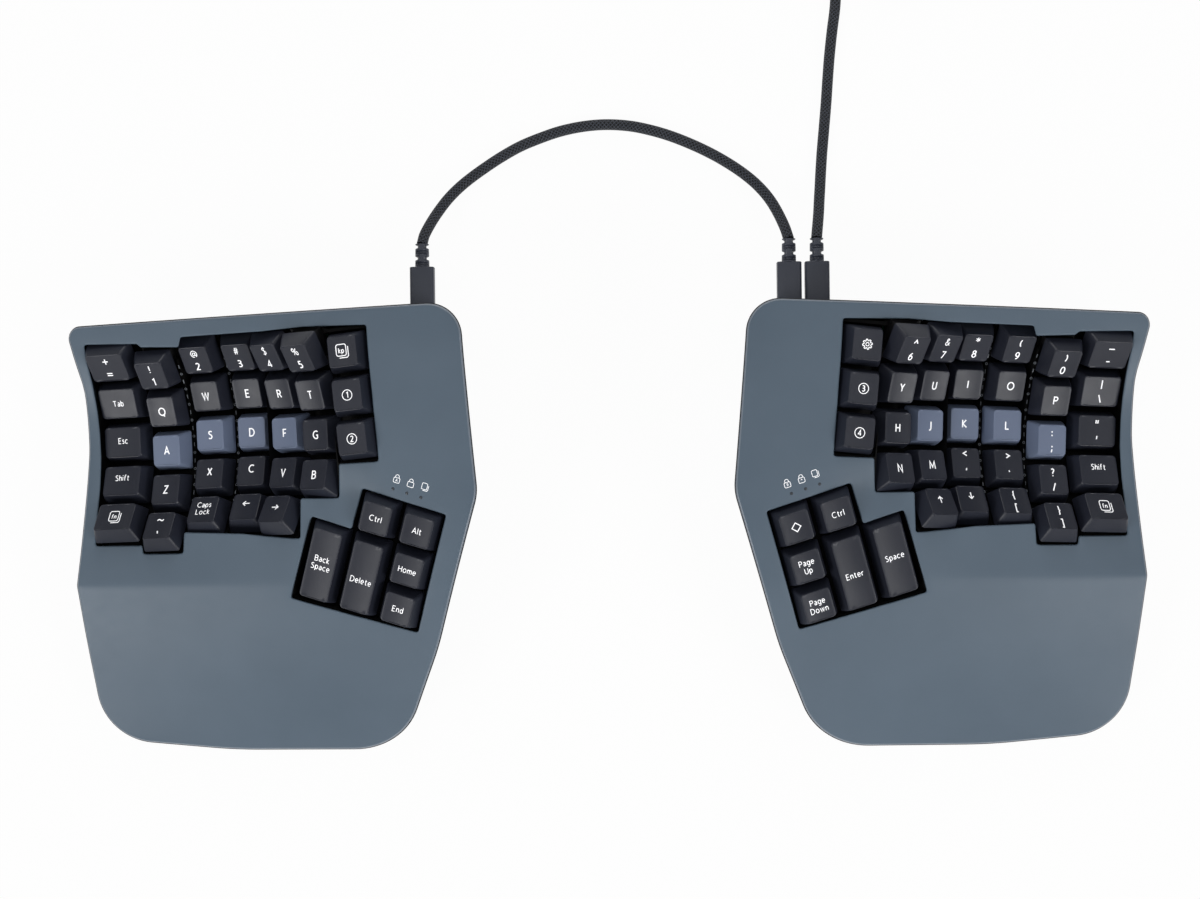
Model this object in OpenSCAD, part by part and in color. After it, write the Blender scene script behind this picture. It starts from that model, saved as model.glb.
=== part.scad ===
// Split contoured keyboard: two mirrored halves joined by a bridge cable.
// Millimetres. X runs to the right, Y away from the user, Z up, the desk is z = 0.
// The right half is described once, measured from its inner edge; the left half is its mirror image.

/* [Case] */
// space between the inner edges of the two halves
half_gap = 114; // [60:1:240]
// width of one half, inner edge to back outer corner
case_width = 193.5; // [188:0.5:200]
// depth of one half, front edge to back edge
case_depth = 209.4; // [206:0.2:216]
// thickness of the top case
case_wall = 3; // [2.4:0.1:3.4]
// how far the top case reaches down from its rim
skirt = 9; // [7:0.5:10]
// thickness of the bottom case walls
tray_wall = 2.2; // [1.8:0.1:2.3]
// thickness of the bottom case floor
tray_floor = 2.6; // [2:0.1:3]
// how far the foot of the bottom case is set in at the inner edge
taper_inner = 10; // [6:0.5:12]
// how far it is set in at the outer edge
taper_outer = 3.5; // [2:0.5:4]
// how far it is set in at the front edge
taper_front = 9; // [6:0.5:10]
// gap at the parting line and under the deck
seam = 0.2; // [0.15:0.05:0.4]
// height of the rubber feet
foot_height = 1.8; // [1.2:0.1:3]

/* [Key well] */
// inner surface of a key column follows a circle of this radius
well_radius = 75; // [74:0.5:78]
// angle from one key row to the next
row_step = 17.2; // [17:0.1:18]
// sideways tilt of the well
tent = 12; // [11:0.5:13]
// turn of the well about the vertical
well_yaw = 2.2; // [1:0.1:3]
// extra tilt of the two index columns
index_roll = 12; // [11:0.5:13]
// thickness of the plates that hold the switches
plate = 1.6; // [1.4:0.1:1.8]
// thickness of the well walls
well_wall = 1.6; // [1.2:0.1:1.8]
// pitch of the keys in the flat inner column
inner_pitch = 19.7; // [19.4:0.1:20]

/* [Keys] */
// key travel
travel = 4; // [3:0.1:4]
// length and width of a single key cap at its foot
cap_size = 18; // [17.4:0.1:18.1]
// height of a key cap
cap_height = 8; // [7.6:0.1:8.4]
// the foot of a cap stands this far above its plate
cap_lift = 6.2; // [6:0.1:6.5]
// how much narrower the top of a cap is
cap_taper_x = 4.6; // [4:0.1:5]
// how much shorter the top of a cap is
cap_taper_y = 4; // [3.5:0.1:4.5]
// thickness of a cap wall
cap_wall = 1.5; // [1.2:0.1:1.6]
// depth of the finger dish in a cap
dish_depth = 0.6; // [0.4:0.1:0.7]
// width of the body of a switch
switch_size = 13.9; // [13.8:0.05:13.95]
// gap round the stem of a switch
stem_gap = 0.3; // [0.25:0.05:0.4]

/* [Thumb keys] */
// pitch across the thumb keys
thumb_pitch_x = 19.6; // [19.4:0.1:20]
// pitch along the thumb keys
thumb_pitch_y = 19.05; // [18.8:0.05:19.4]
// turn of the thumb keys about the vertical
thumb_yaw = 17.3; // [16:0.1:19]

/* [Tent legs] */
// how far a tent leg slides out
leg_travel = 20; // [10:1:22]
// radius of a leg post
post_r = 5; // [4:0.1:5.2]
// gap round a leg post
post_gap = 0.35; // [0.3:0.05:0.5]
// travel of the release button
button_travel = 2; // [1:0.1:2.5]

/* [Cables] */
// thickness of the cables
cord_d = 4.8; // [4.2:0.1:4.9]
// gap between neighbouring loops of the coil
loop_gap = 0.5; // [0.45:0.05:0.8]
// length of a plug body
plug_length = 21.5; // [19:0.5:25]
// height of the sockets above the desk
socket_z = 16; // [14:0.5:18]

/* [Hidden] */
$fn = 48;
W = case_width;
D = case_depth / 2;

// plastics and metals
case_colour = [0.36, 0.41, 0.44];
tray_colour = [0.12, 0.12, 0.13];
key_colour = [0.13, 0.13, 0.14];
home_colour = [0.43, 0.47, 0.55];
board_colour = [0.08, 0.2, 0.14];
metal_colour = [0.72, 0.72, 0.72];
rubber_colour = [0.06, 0.06, 0.06];

// corners of the outline of a half as [x, y, radius], counter-clockwise from the inner edge
corners = [
  [0, 0.177 * D, 25], [0.107 * W, -0.5 * D, 150], [0.2175 * W, -D, 35], [0.635 * W, -D, 250],
  [0.961 * W, -0.943 * D, 26], [0.982 * W, -0.22 * D, 14], [0.9605 * W, 0.38 * D, 90], [0.9635 * W, 0.655 * D, 45],
  [W, 0.927 * D, 6], [0.038 * W, D, 16]
];
rim_step = 1;
arc_angle = 15;
side_step = 24;

// height of the deck along the inner edge, as [part of the half depth, z]
inner_rise = [
  [-1, 16], [-0.81, 30], [-0.57, 44], [-0.29, 56], [0, 64], [0.38, 69], [0.76, 70], [1, 66]
];
// height along the outer edge, in front of the crease and behind it
crease = -0.22;
palm_rise = [[-1, 12], [-0.76, 20], [-0.48, 31], [crease, 40]];
rim_rise = [[crease, 40], [0, 35.5], [0.29, 31.5], [0.53, 32.5], [0.77, 40], [0.94, 43]];
// how quickly the deck falls from the inner edge to the outer edge
fall_power = 1.3;
// rows of the deck surface, front to back
deck_rows = [
  -1.08, -1, -0.9, -0.76, -0.62, -0.48, -0.35, crease, -0.11, 0, 0.14, 0.29, 0.43, 0.57, 0.71, 0.85, 0.95, 1.08
];
deck_columns = 12;

// middle of the well floor under the home key of the middle finger
well_pos = [105.5, D - 57.1, 20];
// key columns as [sideways, along, up, roll, rows, width in units], outer column first
columns = [
  [60.1, -1.7, 12, 0, 5, 1.25], [38.7, -6.6, 10.5, 0, 5, 1], [19.5, -0.3, 4, 0, 5, 1],
  [0.3, 0, 0, 0, 5, 1], [-22, -1.4, 6.7, index_roll, 5, 1], [-39.8, -3.1, 12.9, index_roll, 4, 1]
];
pitch = cap_size + 1.05;
// flat inner column as [sideways, along, up, turn]
inner_column = [-56.7, 13.7, 21.2, -3.6];
// a column ends this far past the middle of its last key
column_end = 8.8;
void_width = pitch + 0.75;
inner_void = 22;
well_gap = 1;

// middle of the thumb plate, its tilt and its keys as [across, along, length in units]
thumb_pos = [30.8, D - 118, 47.2];
thumb_tilt = [11, 8, 0];
thumb_keys = [[0, 1, 1], [0, 0, 1], [0, -1, 1], [1, 1, 1], [1, -0.5, 2], [2, -0.5, 2]];
thumb_margin = 0.6;
// indicator dots in the frame of the thumb plate
dot_step = 6.7;
dot_line = 33.2;
dot_r = 1.1;
pipe_length = 7;

// switch sizes
flange = switch_size + 1.7;
switch_top = 6.2;
switch_depth = 5;
switch_straight = 2.2;
switch_foot = 10.2;
stem_x = 7;
stem_y = 5.8;
stem_base = switch_depth - 0.6 - travel;
post_d = 5.4;
circuit = 1;

// screws, legs and boards, in the frame of a half
screw_spots = [[22.6, D - 20.7], [62, 34.7 - D], [112, 21.7 - D], [160, 44.7 - D], [22, D - 41.7]];
boss_r = 3.6;
screw_r = 1.25;
head_r = 2.6;
head_h = 1.8;
screw_length = 11;
leg_spots = [[27, D - 64.7], [36, D - 128.7]];
leg_bar = 6;
sleeve_wall = 2.4;
sleeve_top = 34;
button_spot = [52, D - 100.7];
button_r = 6;
button_head = 3.6;
button_stud = 1.2;
button_sunk = 0.6;
button_height = button_sunk + button_head + button_stud;
foot_spots = [[38, D - 14.7], [58, 20.7 - D], [168, 22.7 - D], [172, D - 20.7]];
foot_r = 6;
floor_top = foot_height + tray_floor;
board = 1.6;
board_min = [27, D - 52.7];
board_max = [62, D - 11.7];
board_z = socket_z - 1.6 - board;
socket_x = [30.2, 43.4];
socket_y = D - 1.2;
shell = [9, 7.6, 3.2];

// cables
relief_length = 11;
cord_r = cord_d / 2;
plug_end = socket_y + 0.4 + plug_length;
relief_end = plug_end + relief_length;
bridge_x = half_gap / 2 + socket_x[0];
host_x = half_gap / 2 + socket_x[1];
rest_z = cord_r + 0.2;
bridge_points = [
  [-bridge_x, relief_end, socket_z], [-bridge_x, relief_end + 5, socket_z], [-84, 148, 11], [-78, 158, 6],
  [-70, 167, rest_z + 0.6], [-58, 176, rest_z], [-44, 184, rest_z], [-30, 189.5, rest_z], [-14, 193.5, rest_z],
  [3, 194.3, rest_z], [22, 191.5, rest_z], [41, 184, rest_z], [60, 173, rest_z + 0.6], [75, 159.5, 6],
  [83.5, 148, 11], [bridge_x, relief_end + 5, socket_z], [bridge_x, relief_end, socket_z]
];
coil_x = 112.5;
coil_start = [coil_x, 262, rest_z];
host_points = [
  [host_x, relief_end, socket_z], [host_x, relief_end + 5, socket_z], [102, 148, 11], [103.5, 158, 6],
  [105, 170, rest_z + 0.4], [106, 185, rest_z], [107.7, 205, rest_z], [109.3, 225, rest_z],
  [111.5, 245, rest_z], [coil_x, 256, rest_z], coil_start
];
loop_step = cord_d + loop_gap;
coil_r = 37;
layer_turns = 4.375;
coil_turns = 2 * layer_turns + 0.5;
loop_rings = 24;
coil_middle = [coil_x + coil_r, 300];
far_plug = [15.6, 26, 8.2];
far_shell = [12, 18, 4.5];
tail_z = far_plug[2] / 2 + 0.2;
tail_points = [
  [coil_middle[0] + 14, coil_middle[1] + coil_r, rest_z + loop_step - 0.4],
  [coil_middle[0] + 30, coil_middle[1] + coil_r, tail_z + 0.8],
  [coil_middle[0] + 46, coil_middle[1] + coil_r, tail_z], [coil_middle[0] + 52, coil_middle[1] + coil_r, tail_z]
];

// Smooth curves through a list of [position, height]
function unit(v) = v / norm(v);
function mix(a, b, t) = a * (1 - t) + b * t;
function bound(v, low, high) = min(max(v, low), high);
function span(p, s, i = 0) = (i >= len(p) - 2 || s < p[i + 1][0]) ? i : span(p, s, i + 1);
function slope(p, i) = let(a = max(i - 1, 0), b = min(i + 1, len(p) - 1)) (p[b][1] - p[a][1]) / (p[b][0] - p[a][0]);
function curve(p, s) =
  let(i = span(p, s), h = p[i + 1][0] - p[i][0], t = (s - p[i][0]) / h)
  t < 0 ? p[0][1] + slope(p, 0) * (s - p[0][0])
  : t > 1 ? p[i + 1][1] + slope(p, i + 1) * (s - p[i + 1][0])
  : (2 * t ^ 3 - 3 * t ^ 2 + 1) * p[i][1] + (t ^ 3 - 2 * t ^ 2 + t) * h * slope(p, i)
    + (3 * t ^ 2 - 2 * t ^ 3) * p[i + 1][1] + (t ^ 3 - t ^ 2) * h * slope(p, i + 1);
function outer_rise(s) = s < crease ? curve(palm_rise, s) : curve(rim_rise, s);
function deck_z(x, y) =
  let(t = bound(x / W, 0, 1) ^ fall_power) mix(curve(inner_rise, y / D), outer_rise(y / D), t);

// Outline of a half, set in by d
function corner_at(i) = let(c = corners[(i + len(corners)) % len(corners)]) [c[0], c[1]];
function heading(i) = unit(corner_at(i + 1) - corner_at(i));
function inward(h) = [-h[1], h[0]];
function turn(i) = let(a = heading(i - 1), b = heading(i)) atan2(a[0] * b[1] - a[1] * b[0], a * b);
function inset_corner(i, d) =
  let(a = inward(heading(i - 1)), b = inward(heading(i))) corner_at(i) + d * (a + b) / (1 + a * b);
function turned(v, a) = [v[0] * cos(a) - v[1] * sin(a), v[0] * sin(a) + v[1] * cos(a)];
function arc_count(i) = max(1, ceil(abs(turn(i)) / arc_angle));
function corner_arc(i, d) =
  let(
    n = arc_count(i), a = turn(i), s = sign(a), h = heading(i - 1),
    r = max(corners[i % len(corners)][2] - s * d, 0.5),
    start = inset_corner(i, d) - h * r * tan(abs(a) / 2), middle = start + s * r * inward(h)
  )
  [for (k = [0:n]) middle + turned(start - middle, a * k / n)];
function side_count(i) = ceil(norm(corner_at(i + 1) - corner_at(i)) / side_step);
function outline(d) = [
  for (i = [0:len(corners) - 1])
    let(a = corner_arc(i, d), b = corner_arc((i + 1) % len(corners), d), n = side_count(i))
      each concat(a, [for (k = [1:1:n - 1]) mix(a[len(a) - 1], b[0], k / n)])
];
middle = [0.5 * W, 0];
function rim_ring(d, drop) = [for (p = outline(d)) [p[0], p[1], deck_z(p[0], p[1]) - drop]];
function level_ring(d, z) = [for (p = outline(d)) [p[0], p[1], z]];
function foot_ring(d, z) = [
  for (p = outline(d))
    [mix(taper_inner, W - taper_outer, p[0] / W), mix(taper_front - D, D, (p[1] / D + 1) / 2), z]
];

// Points on the thumb plate in the frame of the half
function about_x(v, a) = [v[0], v[1] * cos(a) - v[2] * sin(a), v[1] * sin(a) + v[2] * cos(a)];
function about_y(v, a) = [v[0] * cos(a) + v[2] * sin(a), v[1], v[2] * cos(a) - v[0] * sin(a)];
function about_z(v, a) = [v[0] * cos(a) - v[1] * sin(a), v[0] * sin(a) + v[1] * cos(a), v[2]];
function thumb_point(v) = thumb_pos + about_y(about_x(about_z(v, thumb_yaw), thumb_tilt[0]), thumb_tilt[1]);
dots = [for (k = [-1:1]) thumb_point([thumb_pitch_x / 2 + k * dot_step, dot_line, 8])];

// A closed skin over rings of points, with a point below the first and above the last
module loft(rings, low, high) {
  n = len(rings[0]);
  m = len(rings);
  points = concat([for (r = rings) each r], [low, high]);
  sides = [
    for (j = [0:1:m - 2], i = [0:n - 1])
      let(a = j * n + i, b = j * n + (i + 1) % n) each [[a, a + n, b + n], [a, b + n, b]]
  ];
  ends = [for (i = [0:n - 1]) let(k = (i + 1) % n) each [[i, k, n * m], [n * m - n + k, n * m - n + i, n * m + 1]]];
  polyhedron(points, concat(sides, ends));
}

// Everything under the deck surface moved up by lift
module under_deck(lift) {
  nx = deck_columns;
  ny = len(deck_rows) - 1;
  x0 = -6;
  x1 = W + 6;
  low = -30;
  top = [
    for (j = [0:ny], i = [0:nx])
      let(x = mix(x0, x1, i / nx), y = deck_rows[j] * D) [x, y, deck_z(x, y) + lift]
  ];
  y0 = deck_rows[0] * D;
  y1 = deck_rows[ny] * D;
  base = [[x0, y0, low], [x1, y0, low], [x1, y1, low], [x0, y1, low]];
  k = len(top);
  grid = [
    for (j = [0:ny - 1], i = [0:nx - 1])
      let(a = j * (nx + 1) + i, b = a + nx + 1) each [[a, b, b + 1], [a, b + 1, a + 1]]
  ];
  walls = [
    [k, for (i = [0:nx]) i, k + 1],
    [k + 1, for (j = [0:ny]) j * (nx + 1) + nx, k + 2],
    [k + 2, for (i = [nx:-1:0]) ny * (nx + 1) + i, k + 3],
    [k + 3, for (j = [ny:-1:0]) j * (nx + 1), k],
    [k, k + 1, k + 2, k + 3]
  ];
  polyhedron(concat(top, base), concat(grid, walls));
}

// Room between the walls of a half, gap away from them
module inside(gap) {
  d = rim_step + tray_wall + gap;
  loft([level_ring(d, -20), level_ring(d, 100)], concat(middle, -25), concat(middle, 105));
}

// Placing
module right() translate([half_gap / 2, 0, 0]) children();
module left() mirror([1, 0, 0]) right() children();
module both() {
  right() children();
  left() children();
}
module in_well() translate(well_pos) rotate([0, 0, -well_yaw]) rotate([0, tent, 0]) children();
module in_column(c) in_well() translate([c[0], c[1], c[2]]) rotate([0, c[3], 0]) children();
module at_row(r) translate([0, 0, well_radius]) rotate([(2 - r) * row_step, 0, 0]) translate([0, 0, -well_radius]) children();
module in_inner_column()
  in_well() translate([inner_column[0], inner_column[1], inner_column[2]]) rotate([0, 0, inner_column[3]]) children();
module in_thumb() translate(thumb_pos) rotate(thumb_tilt) rotate([0, 0, thumb_yaw]) children();
module at_thumb(k) in_thumb() translate([k[0] * thumb_pitch_x, k[1] * thumb_pitch_y, 0]) children();
module every_switch() {
  for (c = columns, r = [0:c[4] - 1]) in_column(c) at_row(r) children();
  for (r = [0:2]) in_inner_column() translate([0, (1 - r) * inner_pitch, 0]) children();
  for (k = thumb_keys) at_thumb(k) children();
}

// Side view of a column: floor facets at the given depth, open above
function facet_point(depth, a, s) =
  let(r = well_radius + depth) [r * sin(a) + s * cos(a), well_radius - r * cos(a) + s * sin(a)];
function front_row(n) = (3 - n) * row_step;
function on_facet(depth, a, v) = let(s = (v - (well_radius + depth) * sin(a)) / cos(a)) facet_point(depth, a, s);
function floor_line(n, depth, grow) =
  let(
    f = front_row(n), b = 2 * row_step, vf = facet_point(0, f, -column_end)[0] - grow,
    vb = facet_point(0, b, column_end)[0] + grow, h = (well_radius + depth) * tan(row_step / 2)
  )
  concat([on_facet(depth, f, vf)], [for (k = [0:n - 2]) facet_point(depth, f + k * row_step, h)], [on_facet(depth, b, vb)]);
function column_side(n, depth, grow, top) =
  let(p = floor_line(n, depth, grow)) concat(p, [[p[n][0], top], [p[0][0], top]]);
module across(width) rotate([90, 0, 90]) linear_extrude(width, center = true) children();
module column_block(c, depth, grow, width, top) in_column(c) across(width) polygon(column_side(c[4], depth, grow, top));
function column_void_width(c) = void_width + (c[5] - 1) * pitch;

// The deck is open over a column; below the caps the opening follows the slanting travel of the end keys
function lip(a, sign) =
  let(r = well_radius - cap_lift, h = cap_size / 2, v = r * sin(a) + sign * h * cos(a), w = well_radius - r * cos(a) + sign * h * sin(a))
  [v + sign * 0.7, w + 0.6];
module column_opening(c) {
  f = lip(front_row(c[4]), -1);
  b = lip(2 * row_step, 1);
  in_column(c) across(column_void_width(c))
    polygon([
      [b[0], 90], [f[0], 90], f, f + [-3, -4.2], [f[0] - 3, -6], [b[0] + 3, -6], b + [3, -4.2], b
    ]);
}
module inner_column_block(low, grow, top)
  in_inner_column() translate([-inner_void / 2 - grow, -1.5 * inner_pitch - grow, low])
    cube([inner_void + 2 * grow, 3 * inner_pitch + 2 * grow, top - low]);
module thumb_block(low, grow, top) {
  x = thumb_pitch_x;
  y = thumb_pitch_y;
  g = grow + thumb_margin;
  in_thumb() translate([-x / 2 - g, -1.5 * y - g, low]) cube([2 * x + 2 * g, 3 * y + 2 * g, top - low]);
  in_thumb() translate([1.5 * x - g - 1, -1.5 * y - g, low]) cube([x + 2 * g + 1, 2 * y + 2 * g, top - low]);
}

// Moulded top case with rolled rim, palm rest, crease and the two openings for the keys
module top_case() color(case_colour) difference() {
  union() {
    difference() {
      intersection() {
        loft(
          [rim_ring(rim_step, skirt), rim_ring(0, 2.4), rim_ring(0.7, 0.7), rim_ring(2.6, -0.3)],
          concat(middle, 30), concat(middle, 140)
        );
        under_deck(0);
      }
      intersection() {
        inside(0);
        under_deck(-case_wall);
      }
    }
    for (s = screw_spots) translate([s[0], s[1], floor_top + seam])
      cylinder(r = boss_r, h = deck_z(s[0], s[1]) - 0.6 * case_wall - floor_top - seam);
  }
  for (c = columns) column_opening(c);
  inner_column_block(-1, 0, 60);
  thumb_block(-1, 0, 60);
  for (p = dots) translate([p[0], p[1], p[2] - 20]) cylinder(r = dot_r + 0.15, h = 40);
  for (s = screw_spots) translate([s[0], s[1], 0]) cylinder(r = screw_r + 0.1, h = floor_top + screw_length + 1);
}

// Bottom case: tapered tray with leg sleeves, board posts, screw holes and socket windows
well_in = rim_step + tray_wall;
module bottom_case(sockets) color(tray_colour) difference() {
  union() {
    difference() {
      loft(
        [foot_ring(rim_step, foot_height), rim_ring(rim_step, skirt + seam)],
        concat(middle, foot_height), concat(middle, 30 - seam)
      );
      loft(
        [foot_ring(well_in, floor_top), rim_ring(well_in, skirt + seam), rim_ring(well_in, skirt - 3)],
        concat(middle, floor_top), concat(middle, 110)
      );
    }
    for (s = leg_spots) translate([s[0], s[1], foot_height + 1])
      cylinder(r = post_r + post_gap + sleeve_wall, h = sleeve_top - foot_height - 1);
    translate([button_spot[0], button_spot[1], foot_height + 1])
      cylinder(r = button_r + 2.6, h = button_height + button_travel + 1.6);
    for (x = [board_min[0] + 4, board_max[0] - 4], y = [board_min[1] + 4, board_max[1] - 12])
      translate([x, y, foot_height + 1]) cylinder(r = 2.6, h = board_z - foot_height - 1);
    hull() for (s = leg_spots) translate([s[0], s[1], foot_height + 1]) cylinder(r = post_r + 4.4, h = leg_bar + 2.4);
  }
  hull() for (s = leg_spots) translate([s[0], s[1], -1]) cylinder(r = post_r + 2.4, h = leg_bar + 2.2 + 1);
  for (s = leg_spots) translate([s[0], s[1], -1]) cylinder(r = post_r + post_gap, h = sleeve_top - 2);
  translate([button_spot[0], button_spot[1], -1])
    cylinder(r = button_r + 0.35, h = 1 + foot_height + button_height + button_travel + 0.6);
  for (s = screw_spots) translate([s[0], s[1], -1]) {
    cylinder(r = screw_r + 0.25, h = 20);
    cylinder(r = head_r + 0.3, h = foot_height + 0.8 + 1);
  }
  for (x = sockets) translate([x - shell[0] / 2 - 0.4, socket_y - 12, socket_z - shell[2] / 2 - 0.4])
    cube([shell[0] + 0.8, 30, shell[2] + 0.8]);
}

// Key well: one faceted trough per column, stepped, with a square hole for every switch
module key_well() color(tray_colour) intersection() {
  difference() {
    union() {
      for (c = columns) column_block(c, plate, well_wall, column_void_width(c) + 2 * well_wall, 60);
      inner_column_block(-plate, well_wall, 40);
    }
    for (c = columns) column_block(c, 0, 0, column_void_width(c), 90);
    inner_column_block(0, 0, 60);
    thumb_block(-plate - 0.3, well_wall + 0.3, 60);
    for (c = columns, r = [0:c[4] - 1]) in_column(c) at_row(r) switch_hole();
    for (r = [0:2]) in_inner_column() translate([0, (1 - r) * inner_pitch, 0]) switch_hole();
  }
  under_deck(-case_wall - seam);
  inside(well_gap);
}
module switch_hole() translate([0, 0, -2.4]) cube([switch_size + 0.1, switch_size + 0.1, 9], center = true);

// Thumb plate: shallow tray with six switch holes
module thumb_plate() color(tray_colour) intersection() {
  difference() {
    thumb_block(-plate, well_wall, 40);
    thumb_block(0, 0, 60);
    for (k = thumb_keys) at_thumb(k) switch_hole();
  }
  under_deck(-case_wall - seam);
}

// Switch: square body through the plate, tapered foot, flange on the plate, tapered hood with the stem shaft
module switch_housings() color(key_colour) every_switch() switch_housing();
module switch_housing() difference() {
  union() {
    translate([0, 0, -switch_straight / 2]) cube([switch_size, switch_size, switch_straight], center = true);
    translate([0, 0, -switch_depth])
      linear_extrude(switch_depth - switch_straight, scale = switch_size / switch_foot) square(switch_foot, center = true);
    translate([0, 0, 0.5]) cube([flange, flange, 1], center = true);
    translate([0, 0, 1]) linear_extrude(switch_top - 1, scale = 0.76) square(switch_size, center = true);
  }
  translate([-stem_x / 2 - stem_gap, -stem_y / 2 - stem_gap, 0.4 - switch_depth])
    cube([stem_x + 2 * stem_gap, stem_y + 2 * stem_gap, 20]);
}

// Key cap with dished top on its stem; the foot of the cap is cap_lift above the plate
function cap_ring(w, d, r, z) = [
  for (q = [0:3], k = [0:2])
    let(a = 180 + q * 90 + k * 45, sx = (q == 1 || q == 2) ? 1 : -1, sy = q > 1 ? 1 : -1)
      [sx * (w / 2 - r) + r * cos(a), sy * (d / 2 - r) + r * sin(a), z]
];
module cap_shell(w, d) {
  rings = [
    cap_ring(w, d, 1.2, 0), cap_ring(w - 0.45 * cap_taper_x, d - 0.45 * cap_taper_y, 1.7, 0.55 * cap_height),
    cap_ring(w - cap_taper_x, d - cap_taper_y, 2.4, cap_height)
  ];
  n = 12;
  m = len(rings);
  sides = [
    for (j = [0:m - 2], i = [0:n - 1])
      let(a = j * n + i, b = j * n + (i + 1) % n) each [[a, a + n, b + n], [a, b + n, b]]
  ];
  polyhedron([for (r = rings) each r], concat(sides, [[for (i = [0:n - 1]) i], [for (i = [n - 1:-1:0]) n * (m - 1) + i]]));
}
module cap_hollow(w, d, roof) {
  x0 = w / 2 - cap_wall;
  y0 = d / 2 - cap_wall;
  x1 = (w - cap_taper_x) / 2 - 1;
  y1 = (d - cap_taper_y) / 2 - 1;
  polyhedron(
    [
      [-x0, -y0, -0.5], [x0, -y0, -0.5], [x0, y0, -0.5], [-x0, y0, -0.5],
      [-x1, -y1, roof], [x1, -y1, roof], [x1, y1, roof], [-x1, y1, roof]
    ],
    [[0, 1, 2, 3], [7, 6, 5, 4], [0, 4, 5, 1], [1, 5, 6, 2], [2, 6, 7, 3], [3, 7, 4, 0]]
  );
}
module key(w = cap_size, d = cap_size) {
  dish_r = (w - cap_taper_x - 1.4) ^ 2 / (8 * dish_depth);
  roof = cap_height - dish_depth - 1.6;
  translate([0, 0, cap_lift]) {
    difference() {
      cap_shell(w, d);
      translate([0, 0, cap_height + dish_r - dish_depth]) rotate([90, 0, 0]) cylinder(r = dish_r, h = d, center = true, $fn = 96);
      cap_hollow(w, d, roof);
    }
    translate([0, 0, 0.2]) cylinder(d = post_d, h = roof + 0.6);
  }
  translate([-stem_x / 2, -stem_y / 2, -stem_base]) cube([stem_x, stem_y, cap_lift + 0.2 + stem_base]);
}
module finger_row(r) color(r == 2 ? home_colour : key_colour)
  for (i = [0:3]) in_column(columns[i]) at_row(r) key(cap_size + (columns[i][5] - 1) * pitch);
module index_row(r) color(r == 2 ? home_colour : key_colour)
  for (i = [4:5]) if (r < columns[i][4]) in_column(columns[i]) at_row(r) key();
module inner_keys() color(key_colour)
  for (r = [-1:1]) in_inner_column() translate([0, r * inner_pitch, 0]) key();
module thumb_key(i) color(key_colour)
  at_thumb(thumb_keys[i]) key(cap_size, cap_size + (thumb_keys[i][2] - 1) * thumb_pitch_y);

// Flexible circuit strips under the switches
module flex_circuits() color(board_colour) both() {
  for (c = columns) in_column(c) across(12)
    polygon(concat(floor_line(c[4], switch_depth + circuit, -2), circuit_back(c[4])));
  in_inner_column() translate([-6, -1.5 * inner_pitch + 2, -switch_depth - circuit]) cube([9, 3 * inner_pitch - 4, circuit]);
  for (k = [0:2]) in_thumb() translate([k * thumb_pitch_x - 6, -1.5 * thumb_pitch_y + 2, -switch_depth - circuit])
    cube([12, (k < 2 ? 3 : 2) * thumb_pitch_y - 4, circuit]);
}
function circuit_back(n) = let(p = floor_line(n, switch_depth, -2)) [for (i = [n:-1:0]) p[i]];

// Circuit board on its posts
module main_board() color(board_colour)
  translate([board_min[0], board_min[1], board_z])
    cube([board_max[0] - board_min[0], board_max[1] - board_min[1], board]);

// Metal socket shells
module usb_sockets() color(metal_colour) {
  right() for (x = socket_x) socket(x);
  left() socket(socket_x[0]);
}
module socket(x) translate([x, socket_y - shell[1] + 0.2, socket_z]) difference() {
  translate([-shell[0] / 2, 0, -shell[2] / 2]) cube(shell);
  translate([-4.25, 0.6, -1.3]) cube([8.5, shell[1], 2.6]);
}

// Tent leg: two posts joined by a bar that lies in the foot of the case
module tent_leg() color(tray_colour) {
  difference() {
    hull() for (s = leg_spots) translate([s[0], s[1], 0.4]) cylinder(r = post_r + 2, h = leg_bar + 1);
    for (s = leg_spots) translate([s[0], s[1], leg_bar]) cylinder(r = post_r - 1, h = 3);
  }
  for (s = leg_spots) translate([s[0], s[1], leg_bar]) cylinder(r = post_r, h = sleeve_top - leg_bar - 6);
}
module tent_button() color(rubber_colour) translate([button_spot[0], button_spot[1], foot_height + button_sunk]) {
  cylinder(r = button_r, h = button_head);
  translate([0, 0, button_head]) cylinder(r = 2, h = button_stud);
}

// Indicator light pipes flush with the deck
module indicator_light_pipes() color([0.9, 0.92, 0.95]) both()
  for (p = dots) translate([p[0], p[1], deck_z(p[0], p[1]) - pipe_length])
    cylinder(r = dot_r, h = pipe_length + 0.15);

// Feet and screws
module rubber_feet() color(rubber_colour) both()
  for (s = foot_spots) translate([s[0], s[1], 0]) cylinder(r = foot_r, h = foot_height);
module case_screws() color(metal_colour) both()
  for (s = screw_spots) translate([s[0], s[1], foot_height + 0.8 - head_h + 1.6]) {
    translate([0, 0, -1.6]) cylinder(r = head_r, h = head_h);
    cylinder(r = screw_r, h = screw_length);
  }

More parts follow.
